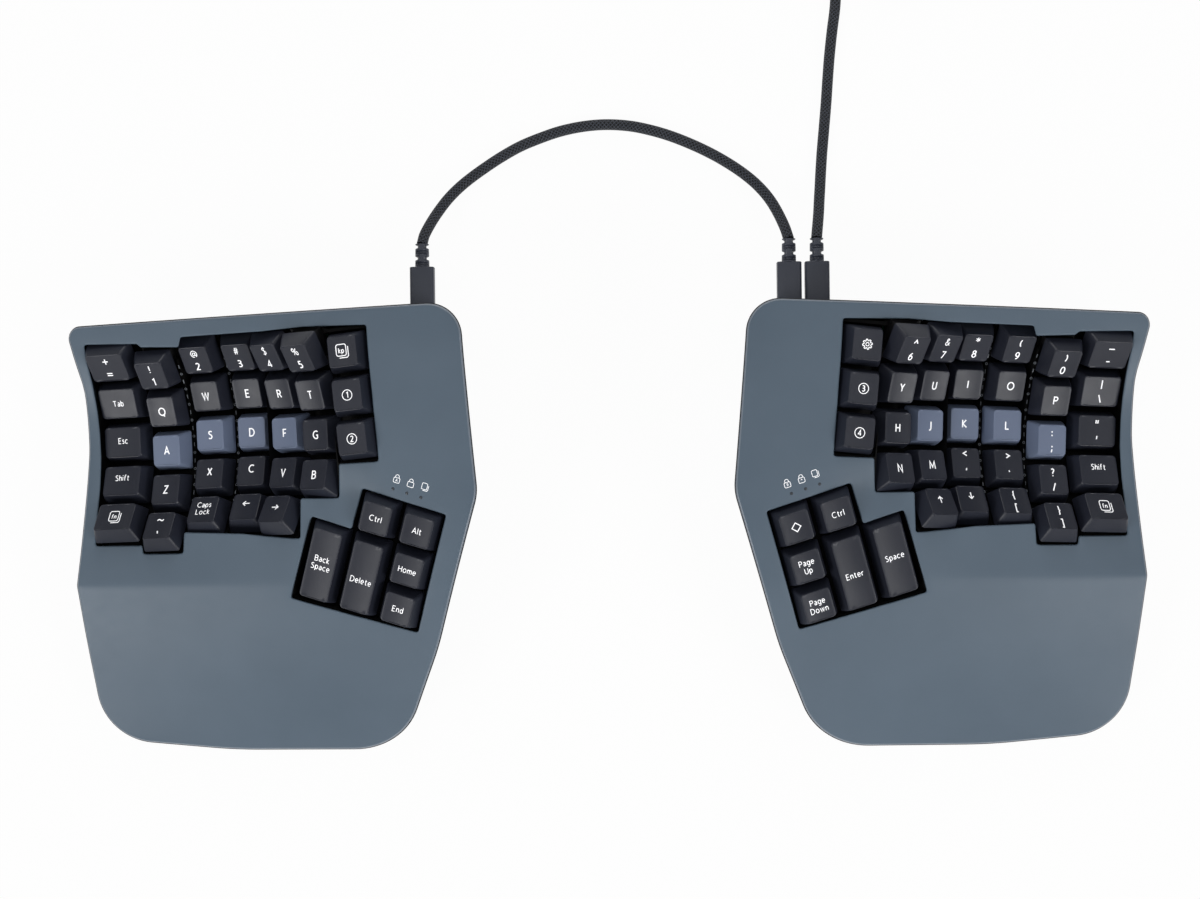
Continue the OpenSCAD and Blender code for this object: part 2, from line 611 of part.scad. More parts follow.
// Plug with rounded body, metal tip and ribbed strain relief, pointing to -Y at its socket face
module usb_c_plug() {
  translate([-4.1, -5.4, -1.2]) cube([8.2, 6, 2.4]);
  plug_body([11.6, plug_length, 6.6], 2.4);
  translate([0, plug_length, 0]) rotate([-90, 0, 0]) rotate_extrude() polygon(relief_side());
}
function relief_side() = concat(
  [[0, 0]],
  [
    for (k = [0:4])
      let(y = k * relief_length / 5, r = cord_r + 1.1 - 0.1 * k)
        each [[r, y], [r, y + 1.3], [r - 0.6, y + 1.3], [r - 0.6, y + relief_length / 5]]
  ],
  [[0, relief_length]]
);
module plug_body(size, r) {
  translate([-size[0] / 2 + r, 0, -size[2] / 2]) cube([size[0] - 2 * r, size[1], size[2]]);
  translate([-size[0] / 2, 0, -size[2] / 2 + r]) cube([size[0], size[1], size[2] - 2 * r]);
  for (x = [-1, 1], z = [-1, 1])
    translate([x * (size[0] / 2 - r), 0, z * (size[2] / 2 - r)]) rotate([-90, 0, 0]) cylinder(r = r, h = size[1]);
}
module usb_c_plugs() color(key_colour) for (x = [-bridge_x, bridge_x, host_x])
  translate([x, socket_y + 0.4, socket_z]) usb_c_plug();

// Cord through points; the ring at each point is square to the path
function thread(p, n) = concat([p[0]], [
  for (i = [1:len(p) - 3], k = [0:n - 1])
    let(a = p[i - 1], b = p[i], c = p[i + 1], d = p[i + 2], t = k / n)
      0.5 * (2 * b + (c - a) * t + (2 * a - 5 * b + 4 * c - d) * t ^ 2 + (3 * b - a - 3 * c + d) * t ^ 3)
], [p[len(p) - 2], p[len(p) - 1]]);
function ahead(p, i) = unit(p[min(i + 1, len(p) - 1)] - p[max(i - 1, 0)]);
function cord_ring(at, dir, r, n) =
  let(side = unit(cross(dir, [0, 0, 1])), up = cross(side, dir))
  [for (k = [0:n - 1]) let(a = (k + 0.5) * 360 / n) at + r * (cos(a) * side + sin(a) * up)];
module cord(p, n) {
  m = len(p);
  rings = [for (i = [0:m - 1]) each cord_ring(p[i], ahead(p, i), cord_r, n)];
  sides = [
    for (j = [0:m - 2], i = [0:n - 1])
      let(a = j * n + i, b = j * n + (i + 1) % n) each [[a, b + n, a + n], [a, b, b + n]]
  ];
  polyhedron(rings, concat(sides, [[for (i = [n - 1:-1:0]) i], [for (i = [0:n - 1]) n * (m - 1) + i]]));
}
module bridge_cable() color(rubber_colour) cord(thread(bridge_points, 2), 8);
module usb_cable() color(rubber_colour) cord(thread(host_points, 2), 8);

// Coil: in along the lower layer, up in half a turn, out along the upper layer
function coil_radius(s) = coil_r - loop_step * (s < layer_turns ? s : s < layer_turns + 0.5 ? layer_turns : coil_turns - s);
function coil_height(s) = rest_z + loop_step * bound((s - layer_turns) * 2, 0, 1);
coil_loops = [
  for (k = [0:round(coil_turns * loop_rings)])
    let(s = k / loop_rings, a = 180 - 360 * s, r = coil_radius(s))
      [coil_middle[0] + r * cos(a), coil_middle[1] + r * sin(a), coil_height(s)]
];
coil_points = concat(
  [coil_start, coil_start + [0, 6, 0], coil_start + [0, 20, 0]], coil_loops, thread(tail_points, 2)
);
coil_gap = min([
  for (i = [0:2:len(coil_points) - 1], j = [i + 8:len(coil_points) - 1]) norm(coil_points[i] - coil_points[j])
]) - cord_d;
module usb_cable_coil() color(rubber_colour) {
  echo(coil_gap = coil_gap);
  cord(coil_points, 6);
}

// Far plug of the host cable
module usb_a_plug() {
  end = tail_points[len(tail_points) - 1];
  translate(end) rotate([0, 0, -90]) {
    color(key_colour) plug_body(far_plug, 2);
    color(metal_colour) translate([-far_shell[0] / 2, far_plug[1], -far_shell[2] / 2]) cube(far_shell);
  }
}

left() top_case();  // left_top_case
right() top_case();  // right_top_case
left() bottom_case([socket_x[0]]);  // left_bottom_case
right() bottom_case(socket_x);  // right_bottom_case
left() key_well();  // left_key_well
right() key_well();  // right_key_well
left() thumb_plate();  // left_thumb_plate
right() thumb_plate();  // right_thumb_plate
left() switch_housings();  // left_switch_housings
right() switch_housings();  // right_switch_housings
left() main_board();  // left_main_board
right() main_board();  // right_main_board
left() tent_leg();  // left_tent_leg
right() tent_leg();  // right_tent_leg
left() tent_button();  // left_tent_button
right() tent_button();  // right_tent_button
flex_circuits();
usb_sockets();
indicator_light_pipes();
rubber_feet();
case_screws();
bridge_cable();
usb_c_plugs();
usb_cable();
usb_cable_coil();
usb_a_plug();
left() finger_row(0);  // left_number_row_keys
left() finger_row(1);  // left_upper_row_keys
left() finger_row(2);  // left_home_row_keys
left() finger_row(3);  // left_lower_row_keys
left() finger_row(4);  // left_bottom_row_keys
left() index_row(0);  // left_index_number_keys
left() index_row(1);  // left_index_upper_keys
left() index_row(2);  // left_index_home_keys
left() index_row(3);  // left_index_lower_keys
left() index_row(4);  // left_index_bottom_key
left() inner_keys();  // left_inner_column_keys
left() thumb_key(0);  // left_thumb_upper_inner_key
left() thumb_key(1);  // left_thumb_middle_inner_key
left() thumb_key(2);  // left_thumb_lower_inner_key
left() thumb_key(3);  // left_thumb_upper_key
left() thumb_key(4);  // left_thumb_middle_bar_key
left() thumb_key(5);  // left_thumb_outer_bar_key
right() finger_row(0);  // right_number_row_keys
right() finger_row(1);  // right_upper_row_keys
right() finger_row(2);  // right_home_row_keys
right() finger_row(3);  // right_lower_row_keys
right() finger_row(4);  // right_bottom_row_keys
right() index_row(0);  // right_index_number_keys
right() index_row(1);  // right_index_upper_keys
right() index_row(2);  // right_index_home_keys
right() index_row(3);  // right_index_lower_keys
right() index_row(4);  // right_index_bottom_key
right() inner_keys();  // right_inner_column_keys
right() thumb_key(0);  // right_thumb_upper_inner_key
right() thumb_key(1);  // right_thumb_middle_inner_key
right() thumb_key(2);  // right_thumb_lower_inner_key
right() thumb_key(3);  // right_thumb_upper_key
right() thumb_key(4);  // right_thumb_middle_bar_key
right() thumb_key(5);  // right_thumb_outer_bar_key
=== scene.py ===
"""Contoured split keyboard: case skins, key caps, legends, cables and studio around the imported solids.

Lengths are in millimetres until a mesh is made; a half is measured from its inner edge, as in the part.
"""
import math

import bpy
import numpy as np
from mathutils import Matrix, Vector
from mathutils.geometry import delaunay_2d_cdt


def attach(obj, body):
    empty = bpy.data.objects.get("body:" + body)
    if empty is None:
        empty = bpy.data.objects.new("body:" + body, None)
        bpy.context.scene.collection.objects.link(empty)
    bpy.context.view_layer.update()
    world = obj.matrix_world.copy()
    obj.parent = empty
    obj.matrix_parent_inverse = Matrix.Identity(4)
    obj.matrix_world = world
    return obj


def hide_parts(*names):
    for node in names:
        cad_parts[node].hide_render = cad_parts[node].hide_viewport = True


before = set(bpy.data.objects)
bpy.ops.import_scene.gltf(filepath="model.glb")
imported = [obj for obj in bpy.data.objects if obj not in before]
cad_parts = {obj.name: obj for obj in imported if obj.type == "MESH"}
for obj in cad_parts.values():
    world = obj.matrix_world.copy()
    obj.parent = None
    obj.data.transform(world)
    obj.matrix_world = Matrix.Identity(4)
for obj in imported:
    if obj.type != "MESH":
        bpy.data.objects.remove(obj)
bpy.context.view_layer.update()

MM = 0.001
TAU = 2 * math.pi
SIDES = ("left", "right")
HALF_GAP = 57.0
CASE_WIDTH, HALF_DEPTH = 193.5, 104.7


# Turning and placing

def cos_sin(degrees):
    """Cosine and sine of an angle."""
    return math.cos(math.radians(degrees)), math.sin(math.radians(degrees))


def turn_x(degrees):
    """Turn about X."""
    c, s = cos_sin(degrees)
    return np.array([[1, 0, 0], [0, c, -s], [0, s, c]])


def turn_y(degrees):
    """Turn about Y."""
    c, s = cos_sin(degrees)
    return np.array([[c, 0, s], [0, 1, 0], [-s, 0, c]])


def turn_z(degrees):
    """Turn about Z."""
    c, s = cos_sin(degrees)
    return np.array([[c, -s, 0], [s, c, 0], [0, 0, 1]])


def place(turn=None, at=(0, 0, 0)):
    """4 by 4 placing: first the turn, then the move."""
    m = np.eye(4)
    m[:3, :3] = np.eye(3) if turn is None else turn
    m[:3, 3] = at
    return m


def moved(points, m):
    """Points turned and moved by a placing."""
    return points @ m[:3, :3].T + m[:3, 3]


def mirrored(m):
    """The same place in the left half: the mirror in X on both sides keeps letters readable."""
    s = np.diag([-1.0, 1, 1, 1])
    return s @ m @ s


def put(name, data):
    """A new object at the origin of the scene."""
    made = bpy.data.objects.new(name, data)
    bpy.context.scene.collection.objects.link(made)
    return made


# Camera, fitted to the key tops: desk axes are turned about X, then Y, then Z into camera axes

CAMERA_AT = np.array([15.45, 37.0, 785.15])
CAMERA_TURN = turn_z(0.672) @ turn_y(-1.409) @ turn_x(-0.038)
FOCAL_PIXELS, PHOTO_WIDTH, SENSOR = 1617.35, 1200, 36.0


def make_camera():
    """Camera with the photo's angle of view, at its fitted place."""
    data = bpy.data.cameras.new("camera")
    data.sensor_width = SENSOR
    data.lens = FOCAL_PIXELS / PHOTO_WIDTH * SENSOR
    data.clip_start, data.clip_end = 0.01, 20
    camera = put("camera", data)
    camera.matrix_world = Matrix(place(CAMERA_TURN.T, CAMERA_AT * MM).tolist())
    bpy.context.scene.camera = camera


make_camera()


# Materials

class Finish:
    """A node material under construction: node() adds a node, set() wires or sets its inputs."""

    def __init__(self, name):
        self.material = bpy.data.materials.new(name)
        self.material.use_nodes = True
        self.tree = self.material.node_tree
        self.shader = self.tree.nodes["Principled BSDF"]

    def set(self, node, **inputs):
        """Inputs go by name, with _ for a space, or by number as i0 and i1."""
        for key, value in inputs.items():
            by_number = key[0] == "i" and key[1:].isdigit()
            socket = node.inputs[int(key[1:]) if by_number else key.replace("_", " ")]
            if isinstance(value, bpy.types.NodeSocket):
                self.tree.links.new(value, socket)
            else:
                socket.default_value = value
        return node

    def node(self, kind, settings=None, **inputs):
        """A new node with its settings and inputs."""
        made = self.tree.nodes.new("ShaderNode" + kind)
        for key, value in (settings or {}).items():
            setattr(made, key, value)
        return self.set(made, **inputs)

    def math(self, operation, a, b=0.0):
        """The result of one operation on two values."""
        return self.node("Math", {"operation": operation}, i0=a, i1=b).outputs[0]

    def line(self, value, slope, offset):
        """Slope times value plus offset."""
        return self.math("ADD", self.math("MULTIPLY", value, slope), offset)

    def ramp(self, fac, low, high, start=0.3, end=0.7):
        """Colour from low at start to high at end."""
        ramp = self.node("ValToRGB", Fac=fac)
        for element, position, colour in zip(ramp.color_ramp.elements, (start, end), (low, high)):
            element.position, element.color = position, (*colour, 1)
        return ramp.outputs[0]

    def noise(self, scale, detail=3.0, roughness=0.55):
        """Noise on Object coordinates."""
        where = self.node("TexCoord").outputs["Object"]
        noise = self.node("TexNoise", Vector=where, Scale=scale, Detail=detail, Roughness=roughness)
        return noise.outputs["Fac"]

    def bump(self, height, strength, distance):
        """Normals that follow a height."""
        return self.node("Bump", Strength=strength, Distance=distance, Height=height).outputs[0]


def linear(*srgb):
    """sRGB 0..255 to linear 0..1."""
    c = np.array(srgb) / 255
    return tuple(np.where(c <= 0.04045, c / 12.92, ((c + 0.055) / 1.055) ** 2.4))


DRIFT_SCALE, DRIFT_SHARE, ROUGH_SCALE, ROUGH_SWING = 22.0, 0.7, 160.0, 0.12


def moulded(name, low, high, rough, grain=2600.0, grain_depth=0.00004, specular=0.5):
    """Moulded plastic: broad and fine colour drift, roughness drift and a fine spark-eroded grain."""
    f = Finish(name)
    fine = f.noise(grain, 2.0)
    blend = f.line(f.noise(DRIFT_SCALE), DRIFT_SHARE, f.math("MULTIPLY", fine, 1 - DRIFT_SHARE))
    rough_drift = f.line(f.noise(ROUGH_SCALE), ROUGH_SWING, rough - ROUGH_SWING / 2)
    f.set(f.shader, Base_Color=f.ramp(blend, low, high), Roughness=rough_drift)
    f.set(f.shader, Specular_IOR_Level=specular, Normal=f.bump(fine, 0.35, grain_depth))
    return f.material


STRANDS, FIBRE_SCALE, BRAID_DEPTH = 8.0, 900.0, 0.0005


def braided(name):
    """Braided sleeve on the cord's own UV: two crossing sets of strands, each over and under in turn."""
    f = Finish(name)
    uv = f.node("SeparateXYZ", Vector=f.node("TexCoord").outputs["UV"])
    around, along = f.math("MULTIPLY", uv.outputs[0], STRANDS), uv.outputs[1]
    crossing = [f.math("MULTIPLY", f.math(way, around, along), TAU) for way in ("ADD", "SUBTRACT")]
    height = f.line(f.math("MAXIMUM", *(f.math("SINE", angle) for angle in crossing)), 0.5, 0.5)
    # Colour follows the weave's height, near-black where strands dip under: painted shade between the
    # strands, with fibre noise on top.
    shade = f.line(height, 0.8, f.math("MULTIPLY", f.noise(FIBRE_SCALE), 0.2))
    f.set(f.shader, Base_Color=f.ramp(shade, linear(3, 4, 5), linear(66, 71, 82), 0.45, 0.98))
    f.set(f.shader, Roughness=0.62, Normal=f.bump(height, 1.0, BRAID_DEPTH))
    return f.material


def printed(name):
    """Pale legend ink with a little unevenness, given a faint glow of its own colour: painted light that
    makes the ink read brighter.
    """
    f = Finish(name)
    shade = f.ramp(f.noise(1800.0), linear(238, 239, 242), linear(252, 252, 253))
    f.set(f.shader, Base_Color=shade, Roughness=0.6, Emission_Color=shade, Emission_Strength=0.5)
    return f.material


def plated(name, low, high):
    """Plated sheet metal with a drawn grain along its length."""
    f = Finish(name)
    where = f.node("Mapping", Vector=f.node("TexCoord").outputs["Object"], Scale=(40, 2500, 2500))
    grain = f.node("TexNoise", Vector=where.outputs[0], Scale=1.0, Detail=2.0).outputs["Fac"]
    f.set(f.shader, Base_Color=f.ramp(grain, low, high), Metallic=1.0)
    f.set(f.shader, Roughness=f.line(grain, 0.2, 0.22), Normal=f.bump(grain, 0.2, 0.00003))
    return f.material


CASE = moulded("case_grey_blue", linear(87, 103, 118), linear(95, 111, 126), 0.46, 3200.0, 0.00003)
# Lighter, glossier band on the rim's rolled edge: a painted highlight along the rim.
CASE_EDGE_HIGHLIGHT = moulded("case_edge_painted_highlight", linear(124, 134, 146), linear(134, 144, 156), 0.34, 3200.0, 0.00002)
# Near-black seam under the rolled edge: partly the dark parting line to the bottom case, partly painted shade
# in the groove.
CASE_SEAM_SHADE = moulded("case_seam_painted_shade", linear(24, 26, 30), linear(32, 34, 38), 0.6)
TRAY = moulded("tray_black", linear(26, 26, 28), linear(36, 36, 39), 0.55)
# Black plastic of the wells, pushed to near-black with little sheen: painted shade deep in the wells.
WELL_SHADE_BLACK = moulded("well_black_painted_shade", linear(4, 4, 5), linear(8, 8, 9), 0.75, specular=0.2)
SWITCH = moulded("switch_black", linear(10, 10, 12), linear(17, 17, 20), 0.5)
KEY = moulded("key_black", linear(34, 37, 48), linear(41, 44, 56), 0.42, 2200.0, 0.00005)
HOME = moulded("key_blue_grey", linear(110, 122, 147), linear(119, 131, 156), 0.48, 2200.0, 0.00005)
PLUG = moulded("plug_black", linear(56, 60, 71), linear(68, 72, 84), 0.4, 1500.0, 0.00004)
RUBBER = moulded("rubber_black", linear(18, 18, 19), linear(28, 28, 29), 0.8, 1200.0, 0.00006)
BOARD = moulded("board_green", linear(12, 48, 34), linear(20, 66, 46), 0.4)
LENS = moulded("light_pipe_grey", linear(52, 58, 64), linear(66, 72, 80), 0.25)
# Pale clips between the columns: partly real clips, partly painted highlights of switch parts.
PALE_CLIP_GLINT = moulded("clip_pale_glint", linear(104, 110, 118), linear(158, 164, 172), 0.4)
INK = printed("legend_white")
BRAID = braided("cable_braid")
STRAP = moulded("strap_black", linear(20, 20, 21), linear(34, 34, 36), 0.85, 700.0, 0.0002)
STEEL = plated("zinc_steel", linear(150, 150, 152), linear(190, 190, 192))


# Meshes

SHARP_EDGE = 40


def piece(name, points, faces, materials, body, slot, uv=None, index=None, replaces=()):
    """A smooth mesh from points in mm and faces, with edges over SHARP_EDGE degrees kept; it rides on a body.

    uv has a place for each face corner, index a material number for each face.
    """
    mesh = bpy.data.meshes.new(name)
    mesh.from_pydata((np.asarray(points, float) * MM).tolist(), [], [list(map(int, f)) for f in faces])
    mesh.polygons.foreach_set("use_smooth", np.ones(len(mesh.polygons), bool))
    mesh.set_sharp_from_angle(angle=math.radians(SHARP_EDGE))
    for material in materials:
        mesh.materials.append(material)
    if index is not None:
        mesh.polygons.foreach_set("material_index", np.asarray(index, np.int32))
    if uv is not None:
        mesh.uv_layers.new(name="UVMap").data.foreach_set("uv", np.asarray(uv, np.float32).ravel())
    mesh.update()
    made = put(name, mesh)
    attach(made, body)
    if replaces:
        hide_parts(*replaces)
    return made


def strip(rings, count):
    """Quads between rings of count points each, in turn."""
    j, i = np.meshgrid(np.arange(rings - 1), np.arange(count), indexing="ij")
    a, b = j * count + i, j * count + (i + 1) % count
    return np.stack([a, b, b + count, a + count], -1).reshape(-1, 4)


def closed_loft(rings, first_pole, last_pole):
    """Rings of equal counts joined in order, and closed by a fan to a pole at each end: points and faces."""
    count, total = len(rings[0]), len(rings) * len(rings[0])
    a, pole, last = np.arange(count), np.full(count, total), total - count
    b = (a + 1) % count
    faces = strip(len(rings), count).tolist()
    faces += np.stack([b, a, pole], -1).tolist() + np.stack([last + a, last + b, pole + 1], -1).tolist()
    return np.concatenate([*rings, [first_pole, last_pole]]), faces


def joined(parts):
    """Several (points, faces) as one, with the faces renumbered."""
    points, faces, n = [], [], 0
    for p, f in parts:
        points.append(np.asarray(p, float))
        faces += [[int(v) + n for v in face] for face in f]
        n += len(p)
    return np.concatenate(points), faces


def flipped(faces):
    """The same faces turned over."""
    return [list(f)[::-1] for f in faces]


# Cords

CORD_R, BRAID_PITCH = 2.6, 1.9
SOCKET_Z, RELIEF_END, REST_Z = 16.0, 136.4, 2.6
BRIDGE_X, HOST_X = 87.2, 100.4
BRIDGE_ROUTE = [
    [-BRIDGE_X, RELIEF_END, SOCKET_Z], [-86.4, 140.2, 15], [-84.8, 144.2, 13], [-82.5, 148.8, 10.8],
    [-79.6, 153.7, 8.5], [-76.1, 158.7, 6.6], [-71.7, 163.7, 4.9], [-66.2, 168.6, 3.8], [-59.2, 173.8, 3],
    [-50.5, 179.5, REST_Z], [-41, 184.7, REST_Z], [-31, 188.7, REST_Z], [-21, 191.9, REST_Z],
    [-10, 194, REST_Z], [1, 194.7, REST_Z], [12, 193.9, REST_Z], [22, 191.8, REST_Z], [32, 188.7, REST_Z],
    [42, 184.6, REST_Z], [51, 180.2, REST_Z], [58.5, 175.8, 2.9], [65.2, 171.2, 3.4], [71, 166.4, 4.2],
    [75.8, 161.3, 5.5], [79.5, 156.1, 7.3], [82.2, 151, 9.3], [84.3, 146, 11.6], [86, 141, 14.4],
    [BRIDGE_X, RELIEF_END, SOCKET_Z],
]
COIL_X = 112.5
HOST_ROUTE = [
    [HOST_X, RELIEF_END, SOCKET_Z], [100.9, 140.4, 14.7], [101.6, 145, 12.2], [102.3, 150, 9.4],
    [102.9, 156, 6.9], [103.5, 162, 5.1], [104, 168, 3.8], [104.5, 174, 3], [105, 180, REST_Z],
    [106.1, 191.3, REST_Z], [107.2, 203, REST_Z], [108.1, 214.5, REST_Z], [109.1, 226, REST_Z],
    [110.5, 238, REST_Z], [111.9, 248, REST_Z], [COIL_X, 256, REST_Z], [COIL_X, 262, REST_Z],
]
COIL_LEAD = [[COIL_X, 268, REST_Z], [COIL_X, 282, REST_Z]]
LOOP_STEP, COIL_R, LAYER_TURNS, CLIMB_IN = 5.3, 37.0, 4.375, 0.13
COIL_TURNS = 2 * LAYER_TURNS + 0.5
COIL_MIDDLE = np.array([COIL_X + COIL_R, 300.0])
TAIL_Z, TAIL_Y = 4.3, COIL_MIDDLE[1] + COIL_R
TAIL_ROUTE = [
    [COIL_MIDDLE[0] + 14, TAIL_Y, REST_Z + LOOP_STEP - 0.4], [COIL_MIDDLE[0] + 30, TAIL_Y, TAIL_Z + 0.8],
    [COIL_MIDDLE[0] + 46, TAIL_Y, TAIL_Z], [COIL_MIDDLE[0] + 52, TAIL_Y, TAIL_Z],
]
LEG_POINTS, TURN_POINTS, TAIL_POINTS = 12, 48, 8
BRIDGE_STEP, HOST_STEP, BRIDGE_SIDES, HOST_SIDES = 1.4, 1.7, 24, 20


def threaded(route, n):
    """Cubic through the route, n points a leg: a point's slope is half the step between its neighbours.

    The first and last legs stay straight.
    """
    p = np.array(route, float)
    t = np.arange(n)[None, :, None] / n
    a, b, c, d = (p[k:len(p) - 3 + k][:, None, :] for k in range(4))
    curve = 2 * b + (c - a) * t + (2 * a - 5 * b + 4 * c - d) * t ** 2 + (3 * b - a - 3 * c + d) * t ** 3
    return np.concatenate([p[:1], 0.5 * curve.reshape(-1, 3), p[-2:]])


def coil_route(n):
    """Flat spiral inwards, half a turn up to the second layer, drawn in a little, and outwards again.

    The radius falls by a loop step for each turn inwards, and the height rises by one on the half turn.
    """
    s = np.arange(round(COIL_TURNS * n) + 1) / n
    climb = np.clip((s - LAYER_TURNS) * 2, 0, 1)
    inward = np.minimum(np.minimum(s, LAYER_TURNS), COIL_TURNS - s) + CLIMB_IN * np.sin(np.pi * climb)
    r, a = COIL_R - LOOP_STEP * inward, np.pi - TAU * s
    z = REST_Z + LOOP_STEP * climb
    return np.stack([COIL_MIDDLE[0] + r * np.cos(a), COIL_MIDDLE[1] + r * np.sin(a), z], 1)


def length_along(path):
    """Distance along a path at each of its points: the running sum of its steps."""
    return np.concatenate([[0], np.cumsum(np.linalg.norm(np.diff(path, axis=0), axis=1))])


def respaced(path, step):
    """The path with points at even steps."""
    s = length_along(path)
    at = np.linspace(0, s[-1], int(s[-1] / step) + 1)
    return np.stack([np.interp(at, s, path[:, k]) for k in range(3)], 1)


def tube(path, radius, sides):
    """Circle carried along a path: side = ahead x up, ring = at + r (cos side + sin down), closed to poles.

    It comes with a UV for each face corner: U round the cord, V along it in braid pitches.
    """
    ahead = np.gradient(path, axis=0)
    ahead /= np.linalg.norm(ahead, axis=1, keepdims=True)
    side = np.cross(ahead, [0, 0, 1.0])
    side /= np.linalg.norm(side, axis=1, keepdims=True)
    down = np.cross(ahead, side)
    a = (np.arange(sides) * TAU / sides)[None, :, None]
    rings = path[:, None] + radius * (np.cos(a) * side[:, None] + np.sin(a) * down[:, None])
    points, faces = closed_loft(rings, path[0], path[-1])
    along = length_along(path) / BRAID_PITCH
    j, i = np.meshgrid(np.arange(len(path) - 1), np.arange(sides), indexing="ij")
    corners = ((i, j), (i + 1, j), (i + 1, j + 1), (i, j + 1))
    uv = np.stack([np.stack([u / sides, along[v]], -1) for u, v in corners], -2).reshape(-1, 2)
    return points, faces, np.concatenate([uv, np.zeros((6 * sides, 2))])


def make_cord(name, path, nodes, sides):
    """A braided tube along the path, which stands for the cord's nodes."""
    points, faces, uv = tube(path, CORD_R, sides)
    return piece(name, points, faces, [BRAID], "frame", "cable_braid", uv=uv, replaces=nodes)


STRAP_WIDTH, STRAP_TURN, STRAP_WALL, STRAP_BULGE, STRAP_OFF_DESK = 13.0, -35.0, 0.2, 0.55, 0.03
STRAP_MIDDLE, STRAP_REACH, STRAP_POWERS = (25.4, 5.28), (15.6, 5.22), (0.55, 0.4)


def tie_strap():
    """Strap round the coil: a flattened loop, signed powers of cosine and sine, carried across its width.

    The loop lies in the plane of the coil's radius and height. Its outside bulges, its inside is straight.
    """
    count, across = 72, 7
    a = np.arange(count) * TAU / count
    flat_cos, flat_sin = (np.sign(v) * np.abs(v) ** p for v, p in zip((np.cos(a), np.sin(a)), STRAP_POWERS))

    def loop(grow, shift):
        out = STRAP_MIDDLE[0] + (STRAP_REACH[0] + grow) * flat_cos
        up = STRAP_MIDDLE[1] + (STRAP_REACH[1] + grow * (flat_sin > 0)) * flat_sin
        return np.stack([out, np.full(count, shift), up], 1)

    u = np.linspace(-0.5, 0.5, across)
    walls = STRAP_WALL + STRAP_BULGE * (1 - (2 * np.abs(u)) ** 6)
    rings = [loop(wall, STRAP_WIDTH * v) for wall, v in zip(walls, u)]
    rings += [loop(0.0, STRAP_WIDTH * v) for v in u[::-1]]
    points = np.concatenate(rings) @ turn_z(STRAP_TURN).T + [*COIL_MIDDLE, 0]
    points[:, 2] = np.maximum(points[:, 2], STRAP_OFF_DESK)
    faces = strip(2 * across + 1, count) % len(points)
    return piece("coil_tie", points, flipped(faces), [STRAP], "frame", "cable_braid")


def rounded_ring(w, d, r, arc=6, side=5):
    """Rounded rectangle w by d with corner radius r: arc points at each corner and points along each side."""
    corners = []
    for q, (sx, sy) in enumerate(((1, 1), (-1, 1), (-1, -1), (1, -1))):
        a = np.radians(90 * q + np.linspace(0, 90, arc))
        corners.append(np.stack([sx * (w / 2 - r) + r * np.cos(a), sy * (d / 2 - r) + r * np.sin(a)], 1))
    t = np.arange(1, side + 1)[:, None] / (side + 1)
    ring = []
    for here, ahead in zip(corners, corners[1:] + corners[:1]):
        ring += [here, here[-1] * (1 - t) + ahead[0] * t]
    return np.concatenate(ring)


def lofted_bar(stations):
    """Bar along Y through rounded sections (y, width, height, corner radius), closed at both ends."""
    rings = []
    for y, w, h, r in stations:
        section = rounded_ring(w, h, r, 7, 3)
        rings.append(np.stack([section[:, 0], np.full(len(section), y), section[:, 1]], 1))
    points, faces = closed_loft(rings, [0, stations[0][0], 0], [0, stations[-1][0], 0])
    return points, flipped(faces)


def soft_ends(length, w, h, r, edge):
    """Stations of a bar whose two ends are rounded over by edge, as quarter circles."""
    front = []
    for t in np.radians(np.linspace(90, 0, 5)):
        trim = 2 * edge * (1 - math.cos(t))
        front.append((edge * (1 - math.sin(t)), w - trim, h - trim, min(r, (h - trim) / 2 - 0.05)))
    return front + [(length - y, *section) for y, *section in front[::-1]]


PLUG_START, PLUG_LENGTH, PLUG_SECTION = 103.9, 21.5, (11.6, 6.6, 1.7, 0.4)
PLUG_TIP = [(-5.4, 7.9, 2.1, 1.0), (-5.1, 8.2, 2.4, 1.15), (0.6, 8.2, 2.4, 1.15)]
RELIEF_LENGTH, RELIEF_LEVELS, RELIEF_WALL, RELIEF_TAPER = 11.0, 4, 0.8, 0.2
SLOT_DEPTH, SLOT_EDGES, SLOT_REACH = 1.15, (14, 7), (0.25, 0.45)
FAR_LENGTH, FAR_SECTION = 26.0, (15.6, 8.2, 2.0, 0.7)
FAR_SHELL = [(25.8, 12.0, 4.5, 0.3), (43.8, 12.0, 4.5, 0.3), (44.0, 11.7, 4.2, 0.3)]


def slotted_relief():
    """Strain relief about Y: a sleeve whose radius drops in slots, turned a quarter at each level.

    A slot is a smooth step along the sleeve, by tanh, times another round it.
    """
    sides, steps = 48, 22 * RELIEF_LEVELS
    y, a = np.meshgrid(np.linspace(0, 1, steps + 1), np.arange(sides) * TAU / sides, indexing="ij")
    level = np.minimum((y * RELIEF_LEVELS).astype(int), RELIEF_LEVELS - 1)
    off_middle, quarter = np.abs(y * RELIEF_LEVELS - level - 0.5), np.where(level % 2, 1, -1)
    along = 0.5 - 0.5 * np.tanh(SLOT_EDGES[0] * (off_middle - SLOT_REACH[0]))
    around = 0.5 + 0.5 * np.tanh(SLOT_EDGES[1] * (quarter * np.cos(2 * a) + SLOT_REACH[1]))
    r = CORD_R + RELIEF_WALL - RELIEF_TAPER * y - SLOT_DEPTH * along * around
    rings = np.stack([r * np.cos(a), PLUG_LENGTH + RELIEF_LENGTH * y, r * np.sin(a)], -1)
    points, faces = closed_loft(rings, [0, PLUG_LENGTH, 0], [0, PLUG_LENGTH + RELIEF_LENGTH, 0])
    return points, flipped(faces)


def make_plug(name, plastic, metal, turn, at, node):
    """Plastic shapes and a metal one along Y as one plug, turned about Z and moved to its place."""
    points, faces = joined([*plastic, metal])
    index = np.arange(len(faces)) >= len(faces) - len(metal[1])
    return piece(name, points @ turn_z(turn).T + at, faces, [PLUG, STEEL], "frame", "plug_plastic",
                 index=index, replaces=[node])


